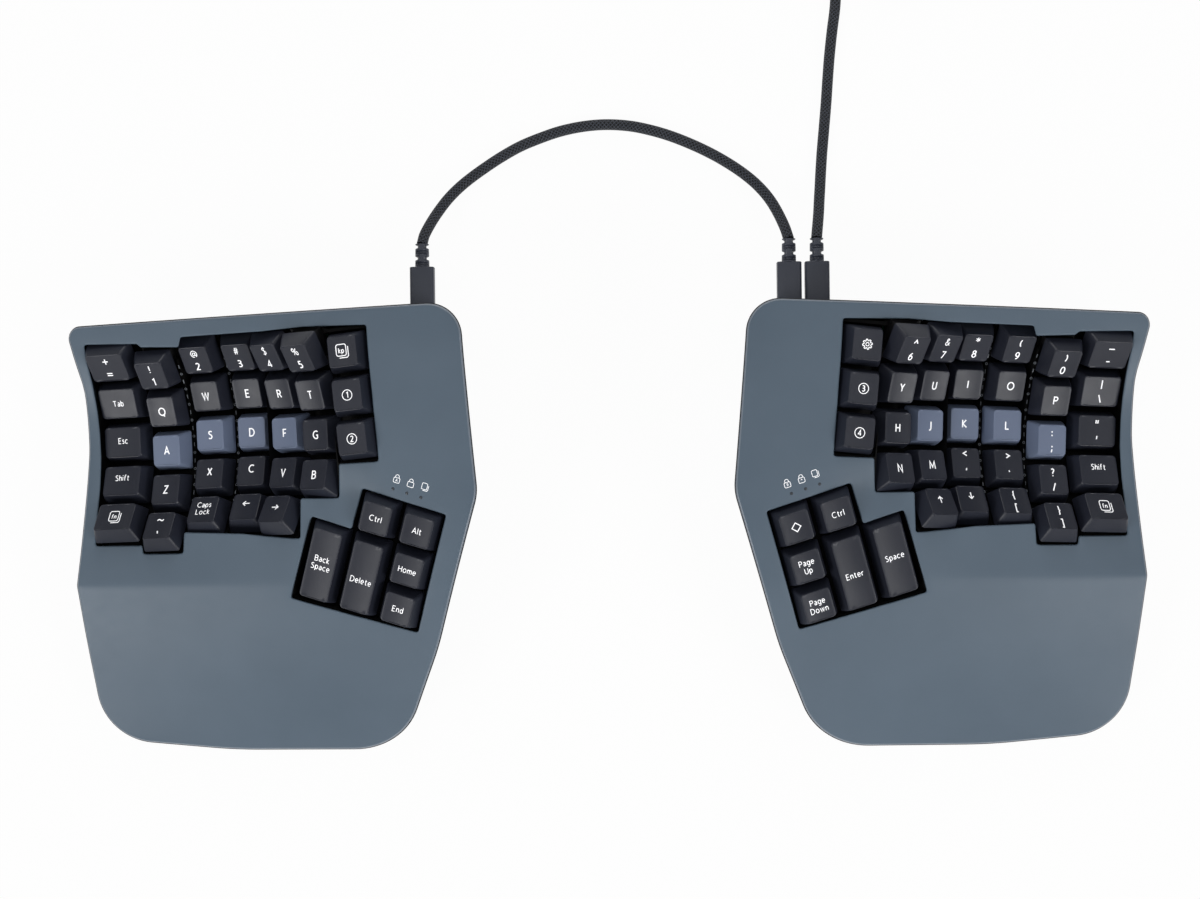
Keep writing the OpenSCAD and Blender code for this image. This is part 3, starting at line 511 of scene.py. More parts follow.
def small_plug(name, x):
    """Rounded body, slotted relief and thin metal tip along Y."""
    body = lofted_bar(soft_ends(PLUG_LENGTH, *PLUG_SECTION))
    at = [x, PLUG_START, SOCKET_Z]
    return make_plug(name, [body, slotted_relief()], lofted_bar(PLUG_TIP), 0, at, "usb_c_plugs")


def far_plug():
    """Flat plug at the end of the coil, pointing along +X."""
    body = lofted_bar(soft_ends(FAR_LENGTH, *FAR_SECTION))
    return make_plug("far_plug", [body], lofted_bar(FAR_SHELL), -90, TAIL_ROUTE[-1], "usb_a_plug")


for name, x in (("left_bridge_plug", -BRIDGE_X), ("right_bridge_plug", BRIDGE_X), ("host_plug", HOST_X)):
    small_plug(name, x)
bridge_path = respaced(threaded(BRIDGE_ROUTE, LEG_POINTS), BRIDGE_STEP)
host_path = respaced(np.concatenate([
    threaded(HOST_ROUTE, LEG_POINTS), COIL_LEAD, coil_route(TURN_POINTS), threaded(TAIL_ROUTE, TAIL_POINTS),
]), HOST_STEP)
bridge_cord = make_cord("bridge_cable_sleeve", bridge_path, ["bridge_cable"], BRIDGE_SIDES)
host_cord = make_cord("host_cable_sleeve", host_path, ["usb_cable", "usb_cable_coil"], HOST_SIDES)
far_plug()
tie_strap()


# Deck surface of a half: [share of the half depth, height] at the inner edge and at the outer edge

CREASE = -0.22
INNER_RISE = [[-1, 16], [-0.81, 30], [-0.57, 44], [-0.29, 56], [0, 64], [0.38, 69], [0.76, 70], [1, 66]]
PALM_RISE = [[-1, 12], [-0.76, 20], [-0.48, 31], [CREASE, 40]]
RIM_RISE = [[CREASE, 40], [0, 35.5], [0.29, 31.5], [0.53, 32.5], [0.77, 40], [0.94, 43]]
FALL_POWER = 1.3
SOFT_LINES = ((-1.6, 1), (-0.8, 2), (0, 3), (0.8, 2), (1.6, 1))
DIP_DEPTH, DIP_AT, DIP_REACH = 2.4, (63, 17), (17, 12)


def rise(table, s):
    """Cubic through [position, height] with central slopes, straight beyond its ends."""
    p = np.array(table, float)
    n = len(p)
    before, after = np.maximum(np.arange(n) - 1, 0), np.minimum(np.arange(n) + 1, n - 1)
    m = (p[after, 1] - p[before, 1]) / (p[after, 0] - p[before, 0])
    i = np.clip(np.searchsorted(p[:, 0], s, side="right") - 1, 0, n - 2)
    h = p[i + 1, 0] - p[i, 0]
    t = (s - p[i, 0]) / h
    c = np.clip(t, 0, 1)
    z = (2 * c ** 3 - 3 * c ** 2 + 1) * p[i, 1] + (c ** 3 - 2 * c ** 2 + c) * h * m[i]
    z = z + (3 * c ** 2 - 2 * c ** 3) * p[i + 1, 1] + (c ** 3 - c ** 2) * h * m[i + 1]
    return z + np.where(t < 0, m[0] * (s - p[0, 0]), 0) + np.where(t > 1, m[-1] * (s - p[-1, 0]), 0)


def sharp_deck(x, y):
    """Height of the deck: from the inner curve to the outer curve, falling as x to a power."""
    s, t = y / HALF_DEPTH, np.clip(x / CASE_WIDTH, 0, 1) ** FALL_POWER
    outer = np.where(s < CREASE, rise(PALM_RISE, s), rise(RIM_RISE, s))
    return rise(INNER_RISE, s) * (1 - t) + outer * t


def deck(x, y):
    """The deck with a softened crease, a weighted mean over nearby lines, and a dip between the openings."""
    x, y = np.asarray(x, float), np.asarray(y, float)
    across, along = (x - DIP_AT[0]) / DIP_REACH[0], (y - DIP_AT[1]) / DIP_REACH[1]
    mean = sum(weight * sharp_deck(x, y + k) for k, weight in SOFT_LINES) / sum(w for _, w in SOFT_LINES)
    return mean - DIP_DEPTH * np.exp(-across ** 2 - along ** 2)


# Corners of a half's outline: share of the width, share of the half depth, radius
CORNERS = np.array([
    [0, 0.177, 25], [0.107, -0.5, 150], [0.2175, -1, 35], [0.635, -1, 250], [0.961, -0.943, 26],
    [0.982, -0.22, 14], [0.9605, 0.38, 90], [0.9635, 0.655, 45], [1, 0.927, 6], [0.038, 1, 16],
]) * [CASE_WIDTH, HALF_DEPTH, 1]


def outline(inset, arc=16, step=1.7):
    """Outline of a half set in: an arc at each corner and even points on each side, counter-clockwise."""
    p, n = CORNERS[:, :2], len(CORNERS)
    ahead = np.roll(p, -1, 0) - p
    side_length = np.linalg.norm(ahead, axis=1)
    ahead = ahead / side_length[:, None]
    back = np.roll(ahead, 1, 0)
    inward = np.stack([-ahead[:, 1], ahead[:, 0]], 1)
    inward_back = np.roll(inward, 1, 0)
    turn = np.arctan2(back[:, 0] * ahead[:, 1] - back[:, 1] * ahead[:, 0], (back * ahead).sum(1))
    corner = p + inset * (inward + inward_back) / (1 + (inward * inward_back).sum(1))[:, None]
    way = np.sign(turn)
    r = np.maximum(CORNERS[:, 2] - way * inset, 0.5)
    start = corner - back * (r * np.tan(np.abs(turn) / 2))[:, None]
    middle = start + (way * r)[:, None] * inward_back
    k = np.linspace(0, 1, arc + 1)[None] * turn[:, None]
    (x, y), c, s = (start - middle).T[..., None], np.cos(k), np.sin(k)
    arcs = middle[:, None] + np.stack([x * c - y * s, x * s + y * c], -1)
    ring = []
    for i in range(n):
        m = int(side_length[i] / step)
        t = (np.arange(1, m) / m)[:, None]
        ring += [arcs[i], arcs[i][-1] * (1 - t) + arcs[(i + 1) % n][0] * t]
    return np.concatenate(ring)


# Where the keys stand; a column is (across, along, height, roll, rows, key width in pitches)

TENT, WELL_YAW, INDEX_ROLL, ROW_STEP, WELL_RADIUS = 12, 2.2, 12, 17.2, 75.0
WELL_AT, THUMB_AT = (105.5, 47.6, 20), (30.8, -13.3, 47.2)
COLUMNS = [
    (60.1, -1.7, 12, 0, 5, 1.25), (38.7, -6.6, 10.5, 0, 5, 1), (19.5, -0.3, 4, 0, 5, 1),
    (0.3, 0, 0, 0, 5, 1), (-22, -1.4, 6.7, INDEX_ROLL, 5, 1), (-39.8, -3.1, 12.9, INDEX_ROLL, 4, 1),
]
INNER_AT, INNER_TURN, INNER_PITCH = (-56.7, 13.7, 21.2), -3.6, 19.7
PITCH, THUMB_PITCH = 19.05, (19.6, 19.05)
THUMB_KEYS = [(0, 1, 1), (0, 0, 1), (0, -1, 1), (1, 1, 1), (1, -0.5, 2), (2, -0.5, 2)]
WELL_FRAME = place(turn_z(-WELL_YAW) @ turn_y(TENT), WELL_AT)
THUMB_TURN = turn_y(8) @ turn_x(11) @ turn_z(17.3)
THUMB_FRAME = place(THUMB_TURN, THUMB_AT)
RIGHT_PLACE = place(at=(HALF_GAP, 0, 0))


def column_key(c, r):
    """Frame of a switch plate: the column's place, then round the column's axis by row."""
    u, v, w, roll = COLUMNS[c][:4]
    up, down = place(at=(0, 0, WELL_RADIUS)), place(at=(0, 0, -WELL_RADIUS))
    return WELL_FRAME @ place(turn_y(roll), (u, v, w)) @ up @ place(turn_x((2 - r) * ROW_STEP)) @ down


def inner_key(r):
    """Frame of a switch plate in the flat inner column."""
    return WELL_FRAME @ place(turn_z(INNER_TURN), INNER_AT) @ place(at=(0, (1 - r) * INNER_PITCH, 0))


def thumb_key(i):
    """Frame of a switch plate in the thumb plane."""
    across, along, _ = THUMB_KEYS[i]
    return THUMB_FRAME @ place(at=(across * THUMB_PITCH[0], along * THUMB_PITCH[1], 0))


def dropped(m, u, v):
    """Points of a tilted frame carried along its normal to the deck, by steps of the height still missing."""
    t = np.full(len(u), 10.0)
    for _ in range(40):
        p = moved(np.stack([u, v, t], 1), m)
        t = t + (deck(p[:, 0], p[:, 1]) - p[:, 2]) / m[2, 2]
    return moved(np.stack([u, v, t], 1), m)


# Case skin: the deck between the rim and the two openings, rolled edges, skirt and underside

FINGER_OPENING = np.array([
    (184.2, 88.7), (158.3, 88.5), (156.2, 86.9), (137.9, 86.5), (136.8, 91.1), (98, 92.8), (79, 94.4),
    (49.6, 94.7), (44.7, 33.3), (63.3, 32.4), (63.9, 16.9), (81.8, 16.9), (82.2, -1.5), (97, -0.3),
    (110, 0.9), (137.9, 1.6), (138.2, -8.1), (157.8, -8.4), (158.1, -4.4), (181.4, -4.7), (181.0, 8),
    (180.0, 22), (179.6, 36), (180.0, 48), (180.6, 58), (181.6, 70),
])
THUMB_CORNERS = np.array([(-10.4, -29.2), (49.6, -29.2), (49.6, 10.1), (30, 10.1), (30, 29.2), (-10.4, 29.2)])
THUMB_OPENING = dropped(THUMB_FRAME, THUMB_CORNERS[:, 0], THUMB_CORNERS[:, 1])[:, :2]
CASE_WALL, SKIRT, RIM_STEP, TRAY_INSET = 3.0, 9.0, 1.0, 3.2
ROLL_IN, ROLL_DOWN, SEAM, SEAM_DROPS, SKIRT_BOW, SKIRT_FOOT = 1.7, 1.0, 0.45, (0.3, 0.45), (0.1, 1.3), 0.25
OPENING_CORNER, LIP, LIP_DEPTH, WALL_LEAN = 1.3, 0.7, 2.4, ((0.35, 1.12), (0.1, 0.12))
GRID, RIM_CLEAR, LIP_CLEAR = 2.1, 1.3, 2.9
# Finish numbers of the case skin: plain, a painted highlight on the rim's roll, and a seam darkened with
# painted shade.
PLAIN, EDGE_HIGHLIGHT, SHADED_SEAM = 0, 1, 2
RIM_FINISH = [PLAIN] * 2 + [EDGE_HIGHLIGHT] * 5 + [PLAIN] + [SHADED_SEAM] * 2 + [PLAIN] * 5
QUARTER = np.radians(np.linspace(0, 90, 8))[1:]


def softened(corners, radius, step=1.6, arc=4):
    """Closed polygon with each corner rounded and its sides divided evenly; counter-clockwise."""
    n = len(corners)
    bends, ring = [], []
    for i in range(n):
        a, b, c = corners[i - 1], corners[i], corners[(i + 1) % n]
        before, after = np.linalg.norm(b - a), np.linalg.norm(c - b)
        h, k = (b - a) / before, (c - b) / after
        bend = math.atan2(h[0] * k[1] - h[1] * k[0], h @ k)
        cut = min(radius * abs(math.tan(bend / 2)), 0.4 * before, 0.4 * after)
        t = np.linspace(0, 1, arc + 1)[:, None] if abs(bend) > 0.3 else np.array([[0.5]])
        bends.append((1 - t) ** 2 * (b - h * cut) + 2 * t * (1 - t) * b + t ** 2 * (b + k * cut))
    for here, ahead in zip(bends, bends[1:] + bends[:1]):
        m = max(int(np.linalg.norm(ahead[0] - here[-1]) / step), 1)
        t = (np.arange(1, m) / m)[:, None]
        ring += [here, here[-1] * (1 - t) + ahead[0] * t]
    return np.concatenate(ring)


def outward(ring):
    """Unit normals of a counter-clockwise ring, pointing away from its inside."""
    along = np.roll(ring, -1, 0) - np.roll(ring, 1, 0)
    along /= np.linalg.norm(along, axis=1, keepdims=True)
    return np.stack([along[:, 1], -along[:, 0]], 1)


def holds(ring, q):
    """True where points q lie inside the ring, by crossings."""
    a, b = ring[:, None], np.roll(ring, -1, 0)[:, None]
    over = (a[..., 1] > q[:, 1]) != (b[..., 1] > q[:, 1])
    slope = (b[..., 0] - a[..., 0]) / np.where(over, b[..., 1] - a[..., 1], 1)
    return (over & (q[:, 0] < a[..., 0] + (q[:, 1] - a[..., 1]) * slope)).sum(0) % 2 == 1


def away(ring, q):
    """Distance from points q to the nearest point of the ring."""
    return np.sqrt(((q[:, None] - ring[None]) ** 2).sum(-1)).min(1)


def deck_cells(rim, lips):
    """Plan of the deck: rim, lips and a staggered grid between them, as triangles that face up.

    Returns the plan's points, the triangles, and where each ring starts among the points.
    """
    x, y = np.meshgrid(np.arange(1, CASE_WIDTH, GRID), np.arange(1 - HALF_DEPTH, HALF_DEPTH, GRID))
    x = x + GRID / 2 * (np.arange(len(x)) % 2)[:, None]
    q = np.stack([x.ravel(), y.ravel()], 1)
    keep = holds(rim, q) & (away(rim, q) > RIM_CLEAR)
    for lip in lips:
        keep &= ~holds(lip, q) & (away(lip, q) > LIP_CLEAR)
    sizes = [len(rim), *map(len, lips)]
    starts = np.concatenate([[0], np.cumsum(sizes)])
    edges = [np.stack([s + np.arange(n), s + (np.arange(n) + 1) % n], 1) for s, n in zip(starts, sizes)]
    plan, edges = np.concatenate([rim, *lips, q[keep]]), np.concatenate(edges)
    inside_only, merge = 1, 1e-6
    flat, _, cells, *_ = delaunay_2d_cdt(plan.tolist(), edges.tolist(), [], inside_only, merge)
    flat, cells = np.array([list(v) for v in flat]), np.array([list(c) for c in cells])
    middle = flat[cells].mean(1)
    cells = cells[~np.any([holds(lip, middle) for lip in lips], 0)]
    a, b, c = (flat[cells[:, k]] for k in range(3))
    down = (b[:, 0] - a[:, 0]) * (c[:, 1] - a[:, 1]) < (b[:, 1] - a[:, 1]) * (c[:, 0] - a[:, 0])
    cells[down] = cells[down][:, ::-1]
    return flat, cells, starts


def lowered(ring, drop):
    """Plan points set at a depth under the deck."""
    return np.column_stack([ring, deck(ring[:, 0], ring[:, 1]) - drop])


def rim_profile():
    """(inset, drop) down the outside: quarter-round edge, seam groove, bowed skirt and its turn under."""
    roll = [(SEAM + (ROLL_IN - SEAM) * (1 - math.sin(t)), ROLL_DOWN * (1 - math.cos(t))) for t in QUARTER]
    seam = [(SEAM, ROLL_DOWN + SEAM_DROPS[0]), (0, ROLL_DOWN + SEAM_DROPS[1])]
    skirt = [(SKIRT_BOW[0], ROLL_DOWN + SKIRT_BOW[1]), (0.5 * RIM_STEP, 0.5 * (ROLL_DOWN + SKIRT))]
    foot = [(RIM_STEP, SKIRT - SKIRT_FOOT), (RIM_STEP + SKIRT_FOOT, SKIRT), (TRAY_INSET, SKIRT)]
    return roll + seam + skirt + foot


def case_shell():
    """Closed shell of a half: deck, underside a wall lower, and bands of rings that join their boundaries.

    Returns points, faces and the finish number of each face.
    """
    rim = outline(ROLL_IN)
    openings = [softened(FINGER_OPENING, OPENING_CORNER), softened(THUMB_OPENING, OPENING_CORNER)]
    flat, cells, starts = deck_cells(rim, [ring + LIP * outward(ring) for ring in openings])
    top, under = lowered(flat, 0), lowered(flat, CASE_WALL)
    n = len(flat)
    points, faces = [top, under], cells.tolist() + (cells[:, ::-1] + n).tolist()
    finish = [PLAIN] * len(faces)

    def band(rings, first, finishes, outer):
        """Quads from a boundary of the top skin through the rings to the same boundary of the underside."""
        start, m = sum(map(len, points)), len(first)
        between = start + np.arange(len(rings) * m).reshape(-1, m)
        table = np.concatenate([[first], between, [first + n]])
        upper, lower = table[:-1], table[1:]
        quads = np.stack([upper, np.roll(upper, -1, 1), np.roll(lower, -1, 1), lower], -1).reshape(-1, 4)
        points.extend(rings)
        faces.extend((quads[:, ::-1] if outer else quads).tolist())
        finish.extend(np.repeat(finishes, m).tolist())

    rings = [lowered(outline(inset), drop) for inset, drop in rim_profile()]
    band(rings, np.arange(len(rim)), RIM_FINISH, True)
    for ring, start, lean in zip(openings, starts[1:], np.array(WALL_LEAN)):
        out = outward(ring)
        rings = [lowered(ring + LIP * (1 - math.sin(t)) * out, LIP * (1 - math.cos(t))) for t in QUARTER[::2]]
        rings.append(lowered(ring, LIP_DEPTH))
        rings[-1][:, :2] += out * lean * (LIP_DEPTH - LIP)
        under[start:start + len(ring), :2] += np.maximum(lean * (CASE_WALL - LIP) - LIP, 0) * out
        band(rings, start + np.arange(len(ring)), [PLAIN] * (len(rings) + 1), False)
    return np.concatenate(points), faces, finish


def both_halves(points, faces):
    """(side, points, faces) of the left and right copies of a shape given in the half's own frame."""
    right = moved(points, RIGHT_PLACE)
    return (("left", right * [-1, 1, 1], flipped(faces)), ("right", right, faces))


shell_points, shell_faces, shell_finish = case_shell()
for side, points, faces in both_halves(shell_points, shell_faces):
    piece(f"{side}_case_skin", points, faces, [CASE, CASE_EDGE_HIGHLIGHT, CASE_SEAM_SHADE], "frame", "case_plastic",
          index=shell_finish, replaces=[f"{side}_top_case"])


# Key caps

CAP, CAP_HEIGHT, CAP_LIFT, TAPER_X, TAPER_Y, DISH, CAP_WALL = 18.0, 8.0, 6.2, 4.6, 4.0, 0.36, 1.5
CAP_ROOF, HOLLOW_TRIM, CAP_EDGE, EDGE_SQUASH, SIDE_BOW, CAP_CORNER = 1.6, 2.0, 0.38, 0.45, 0.26, 1.2
STEM_BLOCK, STEM_POST, STEM_SINK, STEM_STEP, STEM_ROOT = (7, 5.8, 0.3), (5.4, 5.4, 2.6), 0.4, (0.2, 0.25), 0.6
DISH_RINGS, DISH_INSET = (0.9, 0.75, 0.55, 0.3), 0.7


def dish(x, w):
    """How far the top of a cap dips at x: a cylinder along Y that runs out just inside the edge."""
    reach = (w - TAPER_X) / 2 - DISH_INSET
    return DISH * np.maximum(1 - (x / reach) ** 2, 0)


def level_ring(w, d, r, z, arc=6, side=5):
    """A rounded rectangle at height z."""
    ring = rounded_ring(w, d, r, arc, side)
    return np.column_stack([ring, np.full(len(ring), z)])


def cap_shape(w, d):
    """Hollow cap on its stem: rings from the hollow's roof over the foot, up the sides and into the dish.

    A side draws in by its taper times a straight share and a squared share of its height.
    """
    roof = CAP_HEIGHT - DISH - CAP_ROOF
    rings = [(w - TAPER_X - HOLLOW_TRIM, d - TAPER_Y - HOLLOW_TRIM, 1.0, roof)]
    rings += [(w - 2 * CAP_WALL, d - 2 * CAP_WALL, 0.8, 0.0), (w, d, CAP_CORNER, 0.0)]
    for t in np.linspace(0.12, 0.88, 4):
        f = (1 - SIDE_BOW) * t + SIDE_BOW * t * t
        rings.append((w - TAPER_X * f, d - TAPER_Y * f, CAP_CORNER + 0.5 * t, t * CAP_HEIGHT))
    for t in np.radians(np.linspace(18, 90, 5)):
        f, trim = 0.95 + 0.05 * math.sin(t), 2 * CAP_EDGE * (1 - math.cos(t))
        z = CAP_HEIGHT - EDGE_SQUASH * CAP_EDGE * (1 - math.sin(t))
        corner = CAP_CORNER + 0.5 - 0.3 * math.sin(t)
        rings.append((w - TAPER_X * f - trim, d - TAPER_Y * f - trim, corner, z))
    shapes = [level_ring(*ring) for ring in rings]
    shapes += [shapes[-1] * [share, share, 1] for share in DISH_RINGS]
    for ring in shapes[-len(DISH_RINGS) - 1:]:
        ring[:, 2] = CAP_HEIGHT - dish(ring[:, 0], w)
    points, faces = closed_loft(shapes, [0, 0, roof], [0, 0, CAP_HEIGHT - DISH])
    points[:, 2] += CAP_LIFT
    stem_top = CAP_LIFT + roof + STEM_ROOT
    sections = (STEM_BLOCK, STEM_BLOCK, STEM_POST, STEM_POST)
    levels = (-STEM_SINK, CAP_LIFT + STEM_STEP[0], CAP_LIFT + STEM_STEP[1], stem_top)
    rings = [level_ring(*section, z, 3, 1) for section, z in zip(sections, levels)]
    stem = closed_loft(rings, [0, 0, -STEM_SINK], [0, 0, stem_top])
    return joined([(points, faces), stem])


CAP_SIZES = ((CAP, CAP), (CAP + 0.25 * PITCH, CAP), (CAP, CAP + THUMB_PITCH[1]))
CAP_SHAPES = {size: cap_shape(*size) for size in CAP_SIZES}


# Legends: generic letters, digits and simple signs, printed on the dished tops

INK_RISE, INK_SINK, STROKE_HALF, MITRE_LIMIT = 0.035, 0.06, 0.01, 0.4


def bow(x, y, across, up, start=0, end=360):
    """Points on an ellipse about (x, y) from one angle to another."""
    a = np.radians(np.linspace(start, end, max(4, round(abs(end - start) / 24)) + 1))
    return list(zip(x + across * np.cos(a), y + up * np.sin(a)))


# Letters, capitals 1 high and small letters 0.7 high: strokes parted by ;, on each the points x y,
# or an arc as x y across up, with its first and last angles if it isn't closed
ESS = (".47 .9, .36 .98, .22 .99, .09 .92, .05 .77, .12 .64, .27 .54, .43 .44, .5 .3, .47 .13, "
       ".34 .02, .18 .01, .03 .08")
ARCH = "0 .42, .09 .61, .23 .7, .37 .63, .42 .45, .42 0"
BOWL = ".23 .35 .23 .35"
STEM = "0 .7, 0 0"
TALL_STEM = "0 1.05, 0 0"
LETTER_STROKES = {
    "A": "0 0, .34 1, .68 0; .12 .33, .56 .33",
    "B": "0 .54, 0 1, .26 1, .26 .77 .22 .23 80 -80, 0 .54, 0 0, .28 0, .28 .27 .27 .27 -80 80, 0 .54",
    "C": ".42 .5 .42 .5 52 308",
    "D": "0 0, 0 1, .22 1, .22 .5 .44 .5 80 -80, .22 0, 0 0",
    "E": ".48 1, 0 1, 0 0, .48 0; 0 .52, .43 .52",
    "F": ".48 1, 0 1, 0 0; 0 .5, .42 .5",
    "G": ".44 .5 .44 .5 52 295, .68 .1, .68 .46, .44 .46",
    "H": "0 0, 0 1; .58 0, .58 1; 0 .52, .58 .52",
    "I": "0 0, 0 1",
    "J": ".28 1, .28 .1, .22 -.06, .1 -.13, 0 -.12",
    "K": "0 0, 0 1; .5 1, .04 .5, .54 0",
    "L": "0 1, 0 0, .44 0",
    "M": "0 0, .07 1, .4 .22, .73 1, .8 0",
    "N": "0 0, 0 1, .58 0, .58 1",
    "O": ".44 .5 .44 .5",
    "P": "0 0, 0 1, .26 1, .26 .74 .25 .26 80 -80, 0 .48",
    "Q": ".44 .5 .44 .5; .46 .06, .78 -.16",
    "R": "0 0, 0 1, .24 1, .26 .75 .24 .25 80 -80, 0 .5; .26 .5, .56 0",
    "S": ESS,
    "T": "0 1, .62 1; .31 1, .31 0",
    "U": "0 1, 0 .34, .28 .3 .28 .3 190 350, .56 .34, .56 1",
    "V": "0 1, .31 0, .62 1",
    "W": "0 1, .23 0, .46 .95, .69 0, .92 1",
    "X": "0 0, .56 1; 0 1, .56 0",
    "Y": "0 1, .29 .46, .58 1; .29 .46, .29 0",
    "Z": ".02 1, .54 1, 0 0, .55 0",
    "a": ".05 .63, .2 .7, .35 .64, .4 .48, .4 0; .4 .42, .16 .38, .02 .22, .06 .05, .19 0, .33 .08, .4 .22",
    "b": f"{TALL_STEM}; {BOWL}",
    "c": ".28 .35 .28 .35 52 308",
    "d": f".46 1.05, .46 0; {BOWL}",
    "e": ".02 .37, .48 .37, .25 .35 .24 .35 12 312",
    "f": ".36 1.03, .22 1.04, .13 .9, .13 0; 0 .68, .32 .68",
    "g": f"{BOWL}; .46 .7, .46 -.06, .38 -.24, .22 -.3, .05 -.25",
    "h": f"{TALL_STEM}; {ARCH}",
    "i": f"{STEM}; 0 1.02, 0 .9",
    "k": f"{TALL_STEM}; .36 .7, .04 .36, .4 0",
    "l": TALL_STEM,
    "m": f"{STEM}; 0 .42, .0774 .61, .1978 .7, .3182 .63, .3612 .45, .3612 0; .36 .42, .4374 .61, .5578 .7, "
         ".6782 .63, .7212 .45, .7212 0",
    "n": f"{STEM}; {ARCH}",
    "o": ".27 .35 .27 .35",
    "p": f"0 .7, 0 -.3; {BOWL}",
    "r": f"{STEM}; 0 .4, .08 .6, .18 .69, .28 .69",
    "s": ".33 .62, .2 .7, .07 .64, .06 .5, .2 .38, .34 .27, .34 .1, .2 0, .02 .06",
    "t": ".13 .92, .13 .15, .2 .02, .33 .02; 0 .68, .32 .68",
    "w": "0 .7, .18 0, .35 .66, .52 0, .7 .7",
    "0": ".28 .5 .28 .5",
    "1": ".02 .84, .25 1, .25 0",
    "2": ".02 .86, .12 .97, .27 1, .42 .93, .47 .77, .4 .56, .2 .27, 0 0, .5 0",
    "3": ".03 .94, .2 1, .37 .95, .44 .78, .37 .6, .18 .54, .39 .47, .48 .28, .4 .08, .2 0, 0 .06",
    "4": ".41 0, .41 1, 0 .28, .56 .28",
    "5": ".44 1, .09 1, .06 .57, .22 .6, .4 .53, .47 .32, .4 .1, .2 0, 0 .06",
    "6": ".42 .99, .22 .88, .07 .62, .03 .32; .27 .3 .24 .3",
    "7": "0 1, .5 1, .16 0",
    "8": ".26 .77 .2 .23; .26 .27 .25 .27",
    "9": ".26 .69 .24 .31; .5 .66, .46 .36, .32 .12, .1 .01",
    "+": "0 .45, .8 .45; .4 .05, .4 .85",
    "=": "0 .6, .8 .6; 0 .28, .8 .28",
    "!": "0 1, 0 .3; 0 .1, 0 -.03",
    "@": ".44 .45 .44 .5 -60 270; .42 .43 .18 .22; .62 .64, .6 .3, .7 .22, .82 .32",
    "#": ".13 0, .23 1; .37 0, .47 1; .03 .66, .6 .66; 0 .34, .57 .34",
    "$": f"{ESS}; .27 1.15, .27 -.15",
    "%": ".16 .74 .16 .25; .68 .26 .16 .25; .64 1, .2 0",
    "~": "0 .32, .16 .5, .32 .5, .58 .32, .74 .32, .9 .5",
    "`": ".02 .68, .1 .3",
    "^": "0 .5, .27 1, .54 .5",
    "&": ".64 0, .14 .6, .11 .82, .23 .99, .37 .92, .38 .76, .2 .57, .03 .38, .03 .16, .18 0, "
         ".36 .04, .52 .24, .58 .46",
    "*": ".29 1.06, .29 .4; 0 .9, .58 .56; .58 .9, 0 .56",
    "(": ".5 .42 .46 .66 130 230",
    "{": ".24 1.05, .15 1.02, .12 .9, .12 .56, .02 .43, .12 .3, .12 -.05, .15 -.17, .24 -.2",
    "[": ".22 1.05, 0 1.05, 0 -.2, .22 -.2",
    "_": "0 .36, .8 .36",
    "-": "0 .42, .5 .42",
    "|": "0 1.08, 0 -.15",
    "\\": "0 1, .38 -.05",
    "/": "0 -.05, .38 1",
    "\"": ".06 .95, 0 .5; .34 .95, .28 .5",
    "'": ".06 .8, 0 .36",
    ":": "0 .72, 0 .52; 0 .24, 0 .04",
    ";": ".04 .72, .04 .52; .05 .24, -.04 -.14",
    "?": ".02 .93, .18 1, .34 .93, .37 .76, .28 .6, .17 .48, .17 .3; .17 .1, .17 -.03",
    "<": ".48 .72, 0 .42, .48 .12",
    ">": "0 .72, .48 .42, 0 .12",
    ",": ".06 .35, -.02 .05",
    ".": "0 .36, 0 .14",
}


def strokes(text):
    """Routes of a letter from its text."""
    routes = []
    for line in text.split(";"):
        spots = [tuple(map(float, spot.split())) for spot in line.split(",")]
        routes.append([point for spot in spots for point in ([spot] if len(spot) == 2 else bow(*spot))])
    return routes


LETTERS = {mark: strokes(text) for mark, text in LETTER_STROKES.items()}
for mark, twin in ("()", "{}", "[]"):
    LETTERS[twin] = [[(0.3 - x, y) for x, y in r] for r in LETTERS[mark]]
LETTER_GAP, LETTER_WEIGHT = 0.28, 0.16


def stroke(route, width, closed=False):
    """Line of even width along a flat route, as a thin solid: a flat bar carried along the route."""
    p = np.array(route, float)
    n = len(p)
    before, after = np.roll(p, 1, 0), np.roll(p, -1, 0)
    if not closed:
        before[0], after[-1] = p[0], p[-1]

    def unit(v):
        return v / np.maximum(np.linalg.norm(v, axis=1, keepdims=True), 1e-9)

    h, k = unit(p - before), unit(after - p)
    if not closed:
        h[0], k[-1] = k[0], h[-1]
    m = unit(h + k)
    reach = width / 2 / np.maximum(np.abs((m * k).sum(1)), MITRE_LIMIT)
    offset = np.stack([-m[:, 1], m[:, 0]], 1) * reach[:, None]
    corners = ((p + offset, 1), (p - offset, 1), (p - offset, -1), (p + offset, -1))
    points = np.concatenate([np.column_stack([q, np.full(n, up * STROKE_HALF)]) for q, up in corners])
    i = np.arange(n if closed else n - 1)
    j = (i + 1) % n
    sides = ((0, 1), (1, 2), (2, 3), (3, 0))
    faces = [np.stack([i + a * n, i + b * n, j + b * n, j + a * n], 1) for a, b in sides]
    faces = np.concatenate(faces).tolist()
    if not closed:
        faces += [[0, 3 * n, 2 * n, n], [n - 1, 2 * n - 1, 3 * n - 1, 4 * n - 1]]
    return points, faces


def lettering(text, height, weight=LETTER_WEIGHT):
    """A line of letters about its own middle: strokes set side by side."""
    routes, x = [], 0.0
    for mark in text:
        across = np.concatenate(LETTERS[mark])[:, 0]
        routes += [np.array(r) + [x - across.min(), -0.5] for r in LETTERS[mark]]
        x += across.max() - across.min() + LETTER_GAP
    shapes = []
    for r in routes:
        closed = len(r) > 4 and np.allclose(r[0], r[-1])
        r = (r[:-1] if closed else r) - [(x - LETTER_GAP) / 2, 0]
        shapes.append(stroke(r * height, weight * height, closed))
    return shapes


